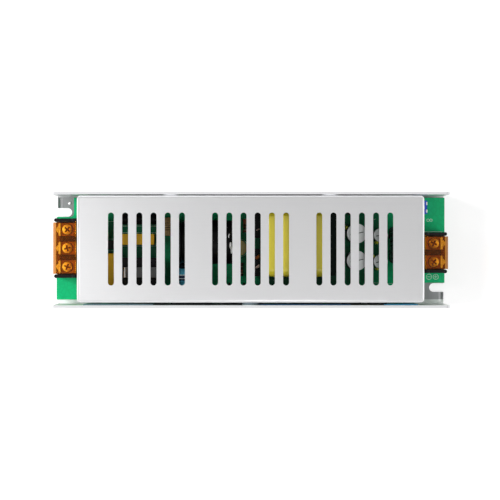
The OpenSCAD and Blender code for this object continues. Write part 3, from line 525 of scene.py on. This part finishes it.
# A dark lump's finish, standing for painted shade between two capacitors.
SHADE_LUMP = Finish("painted_shade_lump", (14, 22, 28), rough=0.4, shine=0.2)
YELLOW_GLUE = Finish("yellow_glue", (226, 234, 74), rough=0.35, mottle=0.15, coat=0.4)
PAD = Finish("thermal_pad", (168, 172, 178), rough=0.8, mottle=0.06, patch=0.5, relief=0.02)
TRIMMER = Finish("blue_trimmer", (40, 82, 200), rough=0.35, mottle=0.06)
ROTOR = Finish("white_rotor", (248, 248, 246), rough=0.4, mottle=0.04, patch=0.6)


@lru_cache(maxsize=None)
def material_of(finish: Finish) -> bpy.types.Material:
    """Makes the one material of a finish.

    Args:
        finish: The finish.

    Returns:
        Its material.
    """
    graph = SurfaceGraph(finish.name)
    finish.paint(graph)
    return graph.material


def dress(finish: Finish, *nodes: str) -> None:
    """Gives nodes of the frame a finish.

    Args:
        finish: The finish to show.
        nodes: Names of the frame's nodes.
    """
    for name in nodes:
        for slot in NODES[name].material_slots:
            slot.material = material_of(finish)
        log.info("dressed %s in %s", name, finish.name)


WELD_GAP = 0.002 * MM
FLAT_ANGLE = math.radians(1)
SHARP_ANGLE = math.radians(40)


def soften(width: float, *nodes: str) -> None:
    """Rounds the sharp edges of nodes without touching their meshes.

    Args:
        width: Width of the rounded edge in millimetres.
        nodes: Names of the frame's nodes.
    """
    for name in nodes:
        node = NODES[name]
        weld = node.modifiers.new("join", "WELD")
        weld.merge_threshold = WELD_GAP
        flat = node.modifiers.new("flat", "DECIMATE")
        flat.decimate_type = "DISSOLVE"
        flat.angle_limit = FLAT_ANGLE
        edge = node.modifiers.new("edge", "BEVEL")
        edge.width = width * MM
        edge.segments = 2
        edge.limit_method = "ANGLE"
        edge.angle_limit = SHARP_ANGLE
        edge.use_clamp_overlap = True


def show(name: str, data: bpy.types.ID) -> bpy.types.Object:
    """Puts a mesh, lamp or camera into the scene.

    Args:
        name: The object's name.
        data: What it shows.

    Returns:
        The new object, at the origin.
    """
    thing = bpy.data.objects.new(name, data)
    bpy.context.scene.collection.objects.link(thing)
    return thing


def box(node: str) -> tuple[Vector, Vector]:
    """Returns the lower and the upper corner of a node's box, in millimetres."""
    low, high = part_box(node)
    return low / MM, high / MM


def middle(node: str) -> Vector:
    """Returns the centre of a node's box."""
    low, high = box(node)
    return (low + high) / 2


def board_top() -> float:
    """Returns the height of the circuit board's upper face."""
    return box("circuit_board")[1].z


def squared(roll: float, square: float) -> Pair:
    """Finds a place on a turn of wire with rounded corners.

    Args:
        roll: Angle round the turn in radians.
        square: Its roundness, where 1 is a circle and 0 a box.

    Returns:
        The place across and along the turn, from -1 to 1.
    """
    across, along = math.cos(roll), math.sin(roll)
    return math.copysign(abs(across) ** square, across), math.copysign(abs(along) ** square, along)


class Piece:
    """A new piece in the making, in millimetres, which ends as an object at the origin."""

    lump_rate = 1.7
    ring_sides = 40

    def __init__(self, name: str, finish: Finish) -> None:
        """Starts an empty mesh.

        Args:
            name: The piece's name.
            finish: The finish to show.
        """
        self.name = name
        self.finish = finish
        self.form = bmesh.new()

    def block(self, centre: Vector, size: Sequence[float], edge: float = 0.0, turn: float = 0.0) -> None:
        """Adds a block with rounded edges.

        Args:
            centre: Its middle.
            size: Its length along X, Y and Z.
            edge: Width of its rounded edges.
            turn: Angle about Z in radians.
        """
        pose = Matrix.Translation(centre) @ Matrix.Rotation(turn, 4, "Z") @ Matrix.Diagonal((*size, 1))
        made = bmesh.ops.create_cube(self.form, size=1, matrix=pose)
        if edge:
            edges = {e for v in made["verts"] for e in v.link_edges}
            bmesh.ops.bevel(self.form, geom=list(edges), offset=edge, affect="EDGES", segments=2,
                            profile=0.5, material=-1)

    def ring(self, centre: Vector, radius: float, width: float, height: float) -> None:
        """Adds a flat ring that lies level.

        Args:
            centre: Middle of its lower face.
            radius: Radius of its outer rim.
            width: Width of its face.
            height: Its thickness.
        """
        rims = []
        for reach in (radius, radius - width):
            rim = bmesh.ops.create_circle(self.form, segments=self.ring_sides, radius=reach,
                                          matrix=Matrix.Translation(centre))
            rims += list({e for v in rim["verts"] for e in v.link_edges})
        faces = bmesh.ops.bridge_loops(self.form, edges=rims)["faces"]
        raised = bmesh.ops.extrude_face_region(self.form, geom=faces, use_keep_orig=True)["geom"]
        lifted = [v for v in raised if isinstance(v, bmesh.types.BMVert)]
        bmesh.ops.translate(self.form, verts=lifted, vec=(0, 0, height))

    def blob(self, centre: Vector, reach: Sequence[float], floor: float, lumps: float = 0.0,
             seed: float = 0.0) -> None:
        """Adds a rounded lump.

        Args:
            centre: Its middle.
            reach: Half its length along X, Y and Z.
            floor: Lowest height that it may reach.
            lumps: How uneven it is, as a share of its size.
            seed: Where its unevenness is taken from.
        """
        made = bmesh.ops.create_icosphere(self.form, subdivisions=3, radius=1)
        for vert in made["verts"]:
            swell = 1 + lumps * noise.noise(vert.co * self.lump_rate + Vector((seed, 0, 0)))
            place = centre + Vector([c * swell * r for c, r in zip(vert.co, reach)])
            place.z = max(place.z, floor)
            vert.co = place

    def wire(self, points: Iterable[Vector], radius: float, sides: int = 2) -> None:
        """Adds a round wire with closed ends along points.

        Args:
            points: The places that its middle line passes through.
            radius: Its radius.
            sides: How round it is: the curve's bevel resolution.
        """
        path = bpy.data.curves.new(self.name + "_path", "CURVE")
        path.dimensions = "3D"
        path.bevel_depth = radius
        path.bevel_resolution = sides
        path.use_fill_caps = True
        places = list(points)
        line = path.splines.new("POLY")
        line.points.add(len(places) - 1)
        for knot, place in zip(line.points, places):
            knot.co = (*place, 1)
        holder = bpy.data.objects.new(path.name, path)
        mesh = bpy.data.meshes.new_from_object(holder)
        self.form.from_mesh(mesh)
        bpy.data.objects.remove(holder)
        bpy.data.curves.remove(path)
        bpy.data.meshes.remove(mesh)

    def done(self, body: str, slot: str, smooth: bool = False, replaced: Sequence[str] = ()) -> None:
        """Ends the piece as an object that rides on a body.

        Args:
            body: Name of the body that carries it.
            slot: Not used.
            smooth: Whether its faces shade as one curved surface.
            replaced: Nodes of the frame that it stands for.
        """
        bmesh.ops.scale(self.form, vec=(MM, MM, MM), verts=self.form.verts)
        bmesh.ops.recalc_face_normals(self.form, faces=self.form.faces)
        for face in self.form.faces:
            face.smooth = smooth
        mesh = bpy.data.meshes.new(self.name)
        self.form.to_mesh(mesh)
        self.form.free()
        mesh.materials.append(material_of(self.finish))
        thing = show(self.name, mesh)
        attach(thing, body)
        if replaced:
            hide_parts(*replaced)
        log.info("made %s with %d faces", self.name, len(mesh.polygons))


class Glow(Enum):
    """What a lamp lights: colours, or the shine of metal and lacquer."""

    COLOUR = "colour"
    SHINE = "shine"


@dataclass(frozen=True)
class Lamp:
    """A square soft lamp that faces the part: its place in metres, its side and its power in watts."""

    name: str
    place: Triple
    size: float
    power: float
    glow: Glow

    def hang(self) -> None:
        """Hangs the lamp and turns it to the part."""
        light = bpy.data.lights.new(self.name, "AREA")
        light.size = self.size
        light.energy = self.power
        holder = show(self.name, light)
        holder.location = self.place
        holder.rotation_euler = (-Vector(self.place)).to_track_quat("-Z", "Y").to_euler()
        holder.visible_glossy = self.glow is Glow.SHINE
        holder.visible_diffuse = self.glow is Glow.COLOUR


class SkyGraph(Graph):
    """The node tree of a new, plain white world."""

    def __init__(self) -> None:
        """Starts the world and gives it to the scene."""
        world = bpy.data.worlds.new("sky")
        world.use_nodes = True
        bpy.context.scene.world = world
        super().__init__(world.node_tree)
        self.background = self.tree.nodes["Background"]
        self.feed(self.background.inputs["Color"], WHITE)


@dataclass
class Studio:
    """Pale floor, soft light and the camera straight above the lid."""

    camera_height: float = 986 * MM
    view_width: float = 250 * MM
    camera_aside: Pair = (-0.3 * MM, -0.05 * MM)
    camera_near: float = 0.01
    camera_far: float = 20.0
    sensor: float = 36.0
    floor_size: float = 6.0
    floor_drop: float = 0.02 * MM
    floor_tone: float = 0.5
    floor_rough: float = 0.9
    floor_shine: float = 0.1
    floor_glow: float = 0.6
    sky: float = 0.5
    zenith: float = 0.36
    mirrored_zenith: float = 0.52
    fade: Pair = (0.45, 0.97)
    lamps: tuple[Lamp, ...] = (
        Lamp("key", (-1.2, 0.15, 0.9), size=0.8, power=34.0, glow=Glow.COLOUR),
        Lamp("fill", (0.9, -0.3, 1.1), size=0.8, power=8.5, glow=Glow.COLOUR),
        Lamp("left_glint", (-0.42, -0.05, 1.3), size=0.3, power=0.75, glow=Glow.SHINE),
        Lamp("front_glint", (0.1, -0.42, 1.3), size=0.3, power=0.8, glow=Glow.SHINE),
    )

    def build(self) -> None:
        """Sets up the whole studio."""
        self.place_camera()
        self.lay_floor()
        self.hang_sky()
        for lamp in self.lamps:
            lamp.hang()
        bpy.context.scene.view_settings.view_transform = "Standard"

    def place_camera(self) -> None:
        """Looks straight down, with the output end to the right."""
        lens = bpy.data.cameras.new("camera")
        lens.sensor_width = self.sensor
        lens.sensor_fit = "HORIZONTAL"
        lens.lens = self.sensor * self.camera_height / self.view_width
        lens.clip_start = self.camera_near
        lens.clip_end = self.camera_far
        camera = show("camera", lens)
        camera.location = (*self.camera_aside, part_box("top_lid")[1].z + self.camera_height)
        bpy.context.scene.camera = camera

    def lay_floor(self) -> None:
        """Lays a pale floor that reads white and keeps the part's shadow."""
        form = bmesh.new()
        bmesh.ops.create_grid(form, x_segments=1, y_segments=1, size=self.floor_size / 2,
                              matrix=Matrix.Translation((0, 0, -self.floor_drop)))
        mesh = bpy.data.meshes.new("floor")
        form.to_mesh(mesh)
        form.free()
        graph = SurfaceGraph("floor_paper")
        graph.set("Base Color", (self.floor_tone, self.floor_tone, self.floor_tone, 1.0))
        graph.set("Roughness", self.floor_rough)
        graph.set("Specular IOR Level", self.floor_shine)
        graph.set("Emission Color", WHITE)
        graph.set("Emission Strength", graph.math("MULTIPLY", graph.seen(), self.floor_glow))
        mesh.materials.append(graph.material)
        show("floor", mesh)

    def hang_sky(self) -> None:
        """Surrounds the part with soft white that is dimmer overhead, and plain white to the camera."""
        graph = SkyGraph()
        height = graph.add("ShaderNodeSeparateXYZ")
        graph.feed(height.inputs[0], graph.add("ShaderNodeTexCoord").outputs["Generated"])
        fading = graph.add("ShaderNodeMapRange", interpolation_type="SMOOTHSTEP")
        overhead = graph.join(fading, height.outputs["Z"], *self.fade)
        soft = graph.mix(Mixed.NUMBER, overhead, self.sky, self.zenith)
        mirrored = graph.mix(Mixed.NUMBER, overhead, 1.0, self.mirrored_zenith)
        lit = graph.mix(Mixed.NUMBER, graph.seen(), soft, mirrored)
        to_camera = graph.add("ShaderNodeLightPath").outputs["Is Camera Ray"]
        graph.feed(graph.background.inputs["Strength"], graph.mix(Mixed.NUMBER, to_camera, lit, 1.0))


@dataclass
class Case:
    """Folded channel, slotted lid, film and the case's screws."""

    edge: float = 0.15
    floor: float = 1.2
    rivet_place: Pair = (-93.7, 24.1)
    rivet_reach: Triple = (0.75, 0.75, 0.5)
    rivet_sink: float = 0.2

    def build(self) -> None:
        """Dresses the case."""
        dress(LID, "top_lid")
        dress(CHANNEL, "base_channel")
        dress(FILM, "insulating_sheet")
        dress(STEEL, "lid_screws_set", "board_pillars", "board_screws", "device_screws", "device_nuts")
        self.rivet()
        soften(self.edge, "top_lid", "base_channel")

    def rivet(self) -> None:
        """Puts a small rivet head in the dimple of the channel's floor by the input notch, near-white as a
        painted glint.
        """
        piece = Piece("floor_rivet", GLINT_STEEL)
        piece.blob(Vector((*self.rivet_place, self.floor)), self.rivet_reach, self.floor - self.rivet_sink)
        piece.done("case", "steel", smooth=True)


class End(Enum):
    """An end of the part."""

    INPUT = "input"
    OUTPUT = "output"

    @property
    def side(self) -> int:
        """Returns the sign of X at this end."""
        return -1 if self is End.INPUT else 1


@dataclass
class TerminalBlock:
    """Barrier terminal block with clamps, screws and an amber cover."""

    end: End
    poles: int
    tongue: Pair = (97.2, 99.6)
    plate: Pair = (15.5, 16.5)
    steep: Pair = (-1.1, 0.6)
    sill_place: float = 99.3
    sill_depth: float = 0.7
    sill_height: float = 5.6
    sill_inset: float = 2.0
    sill_lift: float = 0.1
    sill_edge: float = 0.1

    def build(self) -> None:
        """Dresses the block and what is in it."""
        end = self.end.value
        dress(BLACK, f"{end}_body")
        dress(TIN, f"{end}_contacts")
        dress(AMBER, f"{end}_flap")
        tongue = sorted(self.end.side * x for x in self.tongue)
        # The rib's band and the tongue are toned pale nickel as painted highlights, and the steep faces a
        # paler grey as painted light.
        bright = (Zone(Axis.Z, *self.plate, NICKEL.colour, rough=0.35, metal=0.4),
                  Zone(Axis.X, *tongue, NICKEL.colour, rough=0.35, metal=0.4),
                  Zone(Axis.UP, *self.steep, (168, 162, 152), rough=0.35, metal=0.9))
        clamp = replace(TIN, name=f"{end}_clamp_plate_painted_highlights", zones=bright)
        for pole in range(1, self.poles + 1):
            dress(NICKEL, f"{end}_screw_{pole}")
            dress(clamp, f"{end}_clamp_{pole}")
        self.sill()

    def sill(self) -> None:
        """Adds the low black sill along the block's front, under the clamps' tongues."""
        low, high = box(f"{self.end.value}_body")
        centre = Vector((self.end.side * self.sill_place, (low.y + high.y) / 2,
                         board_top() + self.sill_lift + self.sill_height / 2))
        size = (self.sill_depth, high.y - low.y - 2 * self.sill_inset, self.sill_height)
        piece = Piece(f"{self.end.value}_sill", BLACK)
        piece.block(centre, size, self.sill_edge)
        piece.done("case", "black_plastic")


@dataclass
class Board:
    """Circuit board with its printed outlines and marks."""

    line: float = 0.16
    mark_line: float = 0.2
    lift: float = 0.02
    margin: float = 0.7
    inset: float = 0.4
    sign_radius: float = 1.45
    sign_arm: float = 0.75
    sign_gap: float = 2.0
    minus_back: float = 7.8
    plus_back: float = 4.3
    side_gap: float = 0.35
    side_inset: float = 1.0
    turn_radius: float = 0.75
    turn_gap: float = 3.1
    turn_places: Pair = (0.85, 2.35)
    boxed: tuple[str, ...] = (
        "line_fuse", "x_capacitor_large", "x_capacitor_small", "choke_core", "thermistor", "varistor",
        "y_capacitor")
    ringed: str = "small_capacitor"
    lines: tuple[tuple[Pair, Pair], ...] = (
        ((-73, 14.5), (-67.6, 14.7)), ((63.4, -17.0), (73, -17.3)), ((63.4, 15.6), (64.6, 16.0)))
    top: float = field(init=False, default_factory=board_top)
    printing: Piece = field(init=False, default_factory=lambda: Piece("board_print", PRINT))

    def build(self) -> None:
        """Dresses the board and prints on it."""
        dress(MASK, "circuit_board")
        for node in self.boxed:
            self.outline(node)
        self.circle()
        for start, end in self.lines:
            self.stroke(start, end, self.line)
        self.polarity()
        self.turn_mark()
        self.printing.done("case", "white")

    def stroke(self, start: Sequence[float], end: Sequence[float], width: float) -> None:
        """Prints a straight line.

        Args:
            start: Where it starts on the board.
            end: Where it ends.
            width: Its width.
        """
        a, b = Vector(start), Vector(end)
        along = b - a
        centre = Vector((*((a + b) / 2), self.top + self.lift / 2))
        turn = math.atan2(along.y, along.x)
        self.printing.block(centre, (along.length + width, width, self.lift), turn=turn)

    def outline(self, node: str) -> None:
        """Prints a rectangle round a part's foot, kept on the board.

        Args:
            node: The frame's node of the part.
        """
        low, high = box(node)
        edge_low, edge_high = box("circuit_board")
        x0, y0 = (max(low[i] - self.margin, edge_low[i] + self.inset) for i in range(2))
        x1, y1 = (min(high[i] + self.margin, edge_high[i] - self.inset) for i in range(2))
        corners = [(x0, y0), (x1, y0), (x1, y1), (x0, y1)]
        for start, end in zip(corners, corners[1:] + corners[:1]):
            self.stroke(start, end, self.line)

    def circle(self) -> None:
        """Prints a ring round the small standing can."""
        low, high = box(self.ringed)
        centre = middle(self.ringed)
        centre.z = self.top
        self.printing.ring(centre, (high.x - low.x) / 2 + self.margin, self.line, self.lift)

    def polarity(self) -> None:
        """Prints a ringed minus and a ringed plus by the output block, and a line along its other side."""
        low, high = box("output_body")
        y = low.y - self.sign_gap
        for x, upright in ((high.x - self.minus_back, False), (high.x - self.plus_back, True)):
            self.printing.ring(Vector((x, y, self.top)), self.sign_radius, self.mark_line, self.lift)
            self.stroke((x - self.sign_arm, y), (x + self.sign_arm, y), self.mark_line)
            if upright:
                self.stroke((x, y - self.sign_arm), (x, y + self.sign_arm), self.mark_line)
        side = high.y + self.side_gap
        self.stroke((low.x + self.side_inset, side), (high.x - self.side_inset, side), self.mark_line)

    def turn_mark(self) -> None:
        """Prints two small rings that mark where the trimmer is."""
        low, high = box("trimmer_body")
        for x in self.turn_places:
            centre = Vector((high.x + x, low.y - self.turn_gap, self.top))
            self.printing.ring(centre, self.turn_radius, self.mark_line, self.lift)


@dataclass
class RingCoil:
    """Wire turns round a ring core that stands on its rim with its axis along X."""

    name: str
    node: str
    finish: Finish
    wire: float
    turns: int
    open_arc: float = math.radians(50)
    hole: float = 0.5
    steps: int = 20
    square: float = 0.55

    def points(self) -> list[Vector]:
        """Lays out the wire's middle line.

        Returns:
            Its places from one end of the open arc to the other.
        """
        low, high = box(self.node)
        rim = (high.y - low.y) / 2
        centre = Vector(((low.x + high.x) / 2, (low.y + high.y) / 2, high.z - rim))
        outer = rim - self.wire / 2
        inner = rim * self.hole
        half = (high.x - low.x) / 2 - self.wire / 2
        mean, swing = (outer + inner) / 2, (outer - inner) / 2
        count = self.turns * self.steps
        places = []
        for i in range(count + 1):
            across, along = squared(2 * math.pi * i / self.steps, self.square)
            sweep = -math.pi / 2 + self.open_arc / 2 + (2 * math.pi - self.open_arc) * i / count
            radius = mean + swing * across
            place = Vector((half * along, radius * math.cos(sweep), radius * math.sin(sweep)))
            places.append(centre + place)
        return places

    def build(self) -> None:
        """Winds the wire and lets it stand for the plain coil."""
        piece = Piece(self.name, self.finish)
        piece.wire(self.points(), self.wire / 2, sides=1)
        piece.done("case", "copper", smooth=True, replaced=[self.node])


@dataclass
class LegCoils:
    """The line choke's two coils round its upright legs."""

    wire: float = 0.75
    leg: float = 4.2
    steps: int = 24
    square: float = 0.5

    def build(self) -> None:
        """Winds both coils and lets them stand for the plain ones."""
        low, high = box("choke_windings")
        core_low, core_high = box("choke_core")
        width = (high.x - low.x) - (core_high.x - core_low.x)
        half_x = (self.leg + width) / 2 - self.wire / 2
        half_y = (high.y - low.y) / 2 - self.wire / 2
        rise = high.z - low.z - self.wire
        count = int(rise / self.wire) * self.steps
        piece = Piece("choke_turns", ENAMEL)
        for x in (core_low.x + self.leg / 2, core_high.x - self.leg / 2):
            foot = Vector((x, (low.y + high.y) / 2, low.z + self.wire / 2))
            places = []
            for i in range(count + 1):
                across, along = squared(2 * math.pi * i / self.steps, self.square)
                places.append(foot + Vector((half_x * across, half_y * along, rise * i / count)))
            piece.wire(places, self.wire / 2, sides=1)
        piece.done("case", "copper", smooth=True, replaced=["choke_windings"])


@dataclass
class LineFilter:
    """Fuse, line capacitors, thermistor, varistor, choke and ring choke."""

    toroid: RingCoil = field(default_factory=lambda: RingCoil(
        "toroid_turns", "toroid_winding", ENAMEL, wire=0.7, turns=26))
    choke: LegCoils = field(default_factory=LegCoils)
    painted_glint_edge: Pair = (-0.1, 0.75)

    def build(self) -> None:
        """Dresses the filter and winds its coils."""
        dress(MUSTARD, "x_capacitor_large", "x_capacitor_small")
        dress(SHRINK, "line_fuse")
        dress(DISC, "thermistor")
        dress(BLUE_DISC, "varistor", "y_capacitor")
        # A white mirror strip along the core's left edge is a painted glint.
        start, end = (box("choke_core")[0].x + x for x in self.painted_glint_edge)
        bright = Zone(Axis.X, start, end, (255, 255, 255), rough=0.15, metal=1.0)
        dress(replace(FERRITE, name="choke_ferrite_painted_glint", zones=(bright,)), "choke_core")
        dress(DARK_FERRITE, "toroid_core")
        dress(BLACK, "choke_bobbin", "bridge_rectifier")
        self.toroid.build()
        self.choke.build()


@dataclass(frozen=True)
class Drop:
    """A drop of glue: its middle from a given origin, half its length along X, Y and Z, its unevenness."""

    place: Triple
    reach: Triple
    lumps: float
    seed: float

    def put(self, piece: Piece, origin: Vector, floor: float) -> None:
        """Adds the drop to a piece, above a floor."""
        piece.blob(origin + Vector(self.place), self.reach, floor, self.lumps, self.seed)


@dataclass(frozen=True)
class Lead:
    """A lead of the transformer: its look, its place along Y, how far it slants, and its width."""

    name: str
    finish: Finish
    slot: str
    y: float
    slant: float
    width: float


@dataclass
class PowerStage:
    """Bulk and auxiliary capacitors, transformer, switches and the small parts by them."""

    shoulder: float = 4.0
    coil_depth: float = 4.5
    navy: Pair = (-2.0, 1.1)
    stripes: tuple[Pair, ...] = ((0.6, 1.1), (-1.2, -0.7))
    olive_top: float = 0.6
    back_resistor: float = 12.5
    front_resistor: float = -10
    resistor_half: float = 5
    band_half: float = 0.35
    back_bands: tuple[tuple[float, Colour], ...] = (
        (0.2, (100, 58, 42)), (-0.6, (176, 96, 62)), (-1.5, (84, 60, 48)), (-2.3, (214, 170, 120)))
    front_bands: tuple[tuple[float, Colour], ...] = (
        (1.4, (130, 108, 90)), (-0.6, (130, 62, 50)), (-2.0, (150, 120, 100)))
    leads: tuple[Lead, ...] = (
        Lead("orange_lead", LEAD_WIRE, "copper", y=-4.3, slant=4.2, width=1.7),
        Lead("pale_lead", PALE_WIRE, "white", y=-9.2, slant=4.4, width=1.3),
        Lead("thin_lead", PALE_WIRE, "white", y=10.1, slant=2.4, width=0.6))
    rail_drop: float = 0.4
    lead_foot: Pair = (1.2, -0.3)
    lead_top: Pair = (8.0, 0.9)
    lead_arch: float = 1.2
    lead_steps: int = 6
    sleeve_roll: float = 0.75
    sleeve_out: float = 0.9
    sleeve_degrees: range = range(14, 167, 8)
    pale_drops: tuple[Drop, ...] = (
        Drop((0.3, -1.8, 0.0), (0.6, 1.8, 1.0), lumps=0.2, seed=3.1),
        Drop((0.75, -4.0, -0.4), (0.4, 2.0, 0.8), lumps=0.2, seed=1.4))
    thread: tuple[Pair, ...] = ((-0.1, 4.0), (-0.5, 3.6), (-0.7, 2.9), (-0.6, 2.2), (-0.1, 1.6))
    thread_drop: float = 0.35
    thread_radius: float = 0.2
    shade_drop: Drop = Drop((5, -0.9, 5.5), (4.0, 1.9, 4.0), lumps=0.2, seed=7.7)

    def build(self) -> None:
        """Dresses the stage, then adds the tape, the transformer's leads, the sleeve's end, the glue and a
        dark lump of painted shade.
        """
        dress(SHRINK, "bulk_capacitor")
        self.dress_auxiliary()
        self.dress_small()
        self.dress_resistors()
        dress(BLACK, "controller_chip", "optocoupler", "transformer_bobbin", "switching_transistors",
              "output_rectifiers")
        dress(PAD, "thermal_pads")
        dress(GREEN_FERRITE, "transformer_core")
        self.tape_wrap()
        for lead in self.leads:
            self.run_lead(lead)
        self.sleeve_end()
        self.glue()

    def dress_auxiliary(self) -> None:
        """Gives the blue capacitor a navy stretch with two white stripes along the can."""
        y = middle("auxiliary_capacitor").y
        zones = [Zone(Axis.Y, y + self.navy[0], y + self.navy[1], (8, 30, 66), rough=0.3)]
        for low, high in self.stripes:
            zones.append(Zone(Axis.Y, y + low, y + high, (214, 226, 230), rough=0.3))
        sleeve = Finish("blue_sleeve", (88, 178, 206), rough=0.35, mottle=0.08, patch=3, zones=tuple(zones))
        dress(sleeve, "auxiliary_capacitor")

    def dress_small(self) -> None:
        """Gives the small can an olive top above its sleeve."""
        top = box("small_capacitor")[1].z
        bare = Zone(Axis.Z, top - self.olive_top, top + 1, (150, 138, 84), rough=0.4, metal=0.3)
        sleeve = Finish("olive_sleeve", (96, 92, 52), rough=0.35, patch=2, coat=0.2, zones=(bare,))
        dress(sleeve, "small_capacitor")

    def dress_resistors(self) -> None:
        """Gives both resistors their colour bands, and the front one a darker body."""
        front, half = self.front_resistor, self.resistor_half
        zones = [Zone(Axis.Y, front - half, front + half, (70, 54, 42), rough=0.4)]
        for place, bands in ((self.back_resistor, self.back_bands), (front, self.front_bands)):
            for offset, colour in bands:
                y = place + offset
                zones.append(Zone(Axis.Y, y - self.band_half, y + self.band_half, colour, rough=0.35))
        coat = Finish("resistor_coat", (200, 104, 66), rough=0.4, mottle=0.08, patch=2, zones=tuple(zones))
        dress(coat, "resistors")

    def run_lead(self, lead: Lead) -> None:
        """Runs one of the coil's leads down to the pin rail at the input side.

        Args:
            lead: The lead.
        """
        start = box("transformer_bobbin")[0].x
        rail_top = box("transformer_core")[0].z - self.rail_drop
        foot = Vector((start + self.lead_foot[0], lead.y, rail_top + self.lead_foot[1]))
        top = Vector((start + self.lead_top[0], lead.y + lead.slant, rail_top + self.lead_top[1]))
        arch = (foot + top) / 2 + Vector((0, 0, self.lead_arch))
        shares = [i / self.lead_steps for i in range(self.lead_steps + 1)]
        piece = Piece(lead.name, lead.finish)
        piece.wire([foot.lerp(arch, t).lerp(arch.lerp(top, t), t) for t in shares], lead.width / 2)
        piece.done("case", lead.slot, smooth=True)

    def tape_wrap(self) -> None:
        """Wraps the transformer's coil in tape with tight shoulders, open in the middle for the core."""
        low, high = box("transformer_winding")
        size = high - low
        piece = Piece("tape_wrap", TAPE)
        piece.block((low + high) / 2, size)
        long_edges = [e for e in piece.form.edges if abs(e.verts[0].co.x - e.verts[1].co.x) > size.x / 2]
        bmesh.ops.bevel(piece.form, geom=long_edges, offset=self.shoulder, affect="EDGES", segments=8,
                        profile=0.5, material=-1)
        ends = [f for f in piece.form.faces if len(f.verts) > 4]
        bmesh.ops.inset_region(piece.form, faces=ends, thickness=self.coil_depth, use_even_offset=True)
        rims = list({e for f in ends for e in f.edges})
        bmesh.ops.delete(piece.form, geom=ends, context="FACES_ONLY")
        bmesh.ops.bridge_loops(piece.form, edges=rims)
        piece.done("case", "tape", replaced=["transformer_winding"])

    def sleeve_end(self) -> None:
        """Rolls the end of the bulk capacitor's sleeve over the can's output-side shoulder."""
        low, high = box("bulk_capacitor")
        reach = (high.z - low.z) / 2 - self.sleeve_roll
        centre = middle("bulk_capacitor")
        centre.x = high.x + self.sleeve_roll * self.sleeve_out
        angles = [math.radians(a) for a in self.sleeve_degrees]
        arc = [centre + Vector((0, reach * math.cos(a), reach * math.sin(a))) for a in angles]
        piece = Piece("sleeve_roll", SHRINK)
        piece.wire(arc, self.sleeve_roll)
        piece.done("case", "sleeve", smooth=True)

    def glue(self) -> None:
        """Puts white glue on the bulk capacitor's output-side shoulder, and a dark lump beside the can as
        painted shade.
        """
        low, high = box("bulk_capacitor")
        shoulder = Vector((high.x, (low.y + high.y) / 2, high.z))
        pale = Piece("bulk_glue", PALE_GLUE)
        for drop in self.pale_drops:
            drop.put(pale, shoulder, low.z)
        thread = [shoulder + Vector((x, y, -self.thread_drop)) for x, y in self.thread]
        pale.wire(thread, self.thread_radius)
        pale.done("case", "white", smooth=True)
        # A dark lump between the bulk and the blue capacitor, standing for painted shade.
        dark = Piece("painted_shade_lump", SHADE_LUMP)
        self.shade_drop.put(dark, low, low.z)
        dark.done("case", "black_plastic", smooth=True)


@dataclass
class OutputFilter:
    """Output capacitors, their glue, the output inductor and the trimmer."""

    inductor: RingCoil = field(default_factory=lambda: RingCoil(
        "inductor_turns", "inductor_winding", DARK_ENAMEL, wire=1.2, turns=14))
    bare_top: float = 0.55
    glue_drops: tuple[Drop, ...] = (
        Drop((48.7, 11.6, 7.5), (1.2, 1.2, 7.5), lumps=0.5, seed=5.0),
        Drop((64.4, 3.9, 7.2), (1.0, 1.0, 7.2), lumps=0.5, seed=6.0),
        Drop((62.5, -3.2, 7.2), (1.0, 1.0, 7.2), lumps=0.5, seed=7.0),
        Drop((64.6, -9.7, 6.8), (0.9, 0.9, 6.8), lumps=0.5, seed=8.0))
    pin_shares: Pair = (0.22, 0.78)
    pin_size: Triple = (0.8, 1.6, 1.0)
    pin_inset: float = 0.25
    pin_drop: float = 0.55
    pin_edge: float = 0.15

    def build(self) -> None:
        """Dresses the filter, winds the inductor and puts glue by the cans."""
        for node in ("output_capacitors_large", "output_capacitors_small"):
            self.dress_cans(node)
        dress(DARK_FERRITE, "inductor_core")
        self.inductor.build()
        self.glue()
        self.trimmer()

    def dress_cans(self, node: str) -> None:
        """Gives standing cans a bare silver top above a dark sleeve.

        Args:
            node: The frame's node that holds the cans.
        """
        top = box(node)[1].z
        bare = Zone(Axis.Z, top - self.bare_top, top + 1, (214, 217, 216), rough=0.32, metal=1.0)
        dress(Finish(f"{node}_sleeve", (20, 48, 36), rough=0.3, patch=2, coat=0.3, zones=(bare,)), node)

    def glue(self) -> None:
        """Puts yellow glue between the output cans."""
        board = board_top()
        piece = Piece("can_glue", YELLOW_GLUE)
        for drop in self.glue_drops:
            drop.put(piece, Vector((0, 0, board)), board)
        piece.done("case", "tape", smooth=True)

    def trimmer(self) -> None:
        """Dresses the trimmer and adds its two pins, white as painted highlights."""
        dress(TRIMMER, "trimmer_body")
        dress(ROTOR, "trimmer_rotor")
        low, high = box("trimmer_body")
        # The pins are white so that they show as painted highlights.
        piece = Piece("trimmer_pins_painted_glint", ROTOR)
        for share in self.pin_shares:
            y = low.y + (high.y - low.y) * share
            centre = Vector((high.x - self.pin_inset, y, high.z - self.pin_drop))
            piece.block(centre, self.pin_size, self.pin_edge)
        piece.done("case", "white")


def main() -> None:
    """Builds the studio and dresses each sub-assembly in order."""
    logging.basicConfig(level=logging.INFO, format="%(message)s")
    assemblies = (Studio(), Case(), Board(), TerminalBlock(End.INPUT, 3), TerminalBlock(End.OUTPUT, 2),
                  LineFilter(), PowerStage(), OutputFilter())
    for assembly in assemblies:
        assembly.build()
        log.info("%s is ready", type(assembly).__name__)


if __name__ == "__main__":
    main()
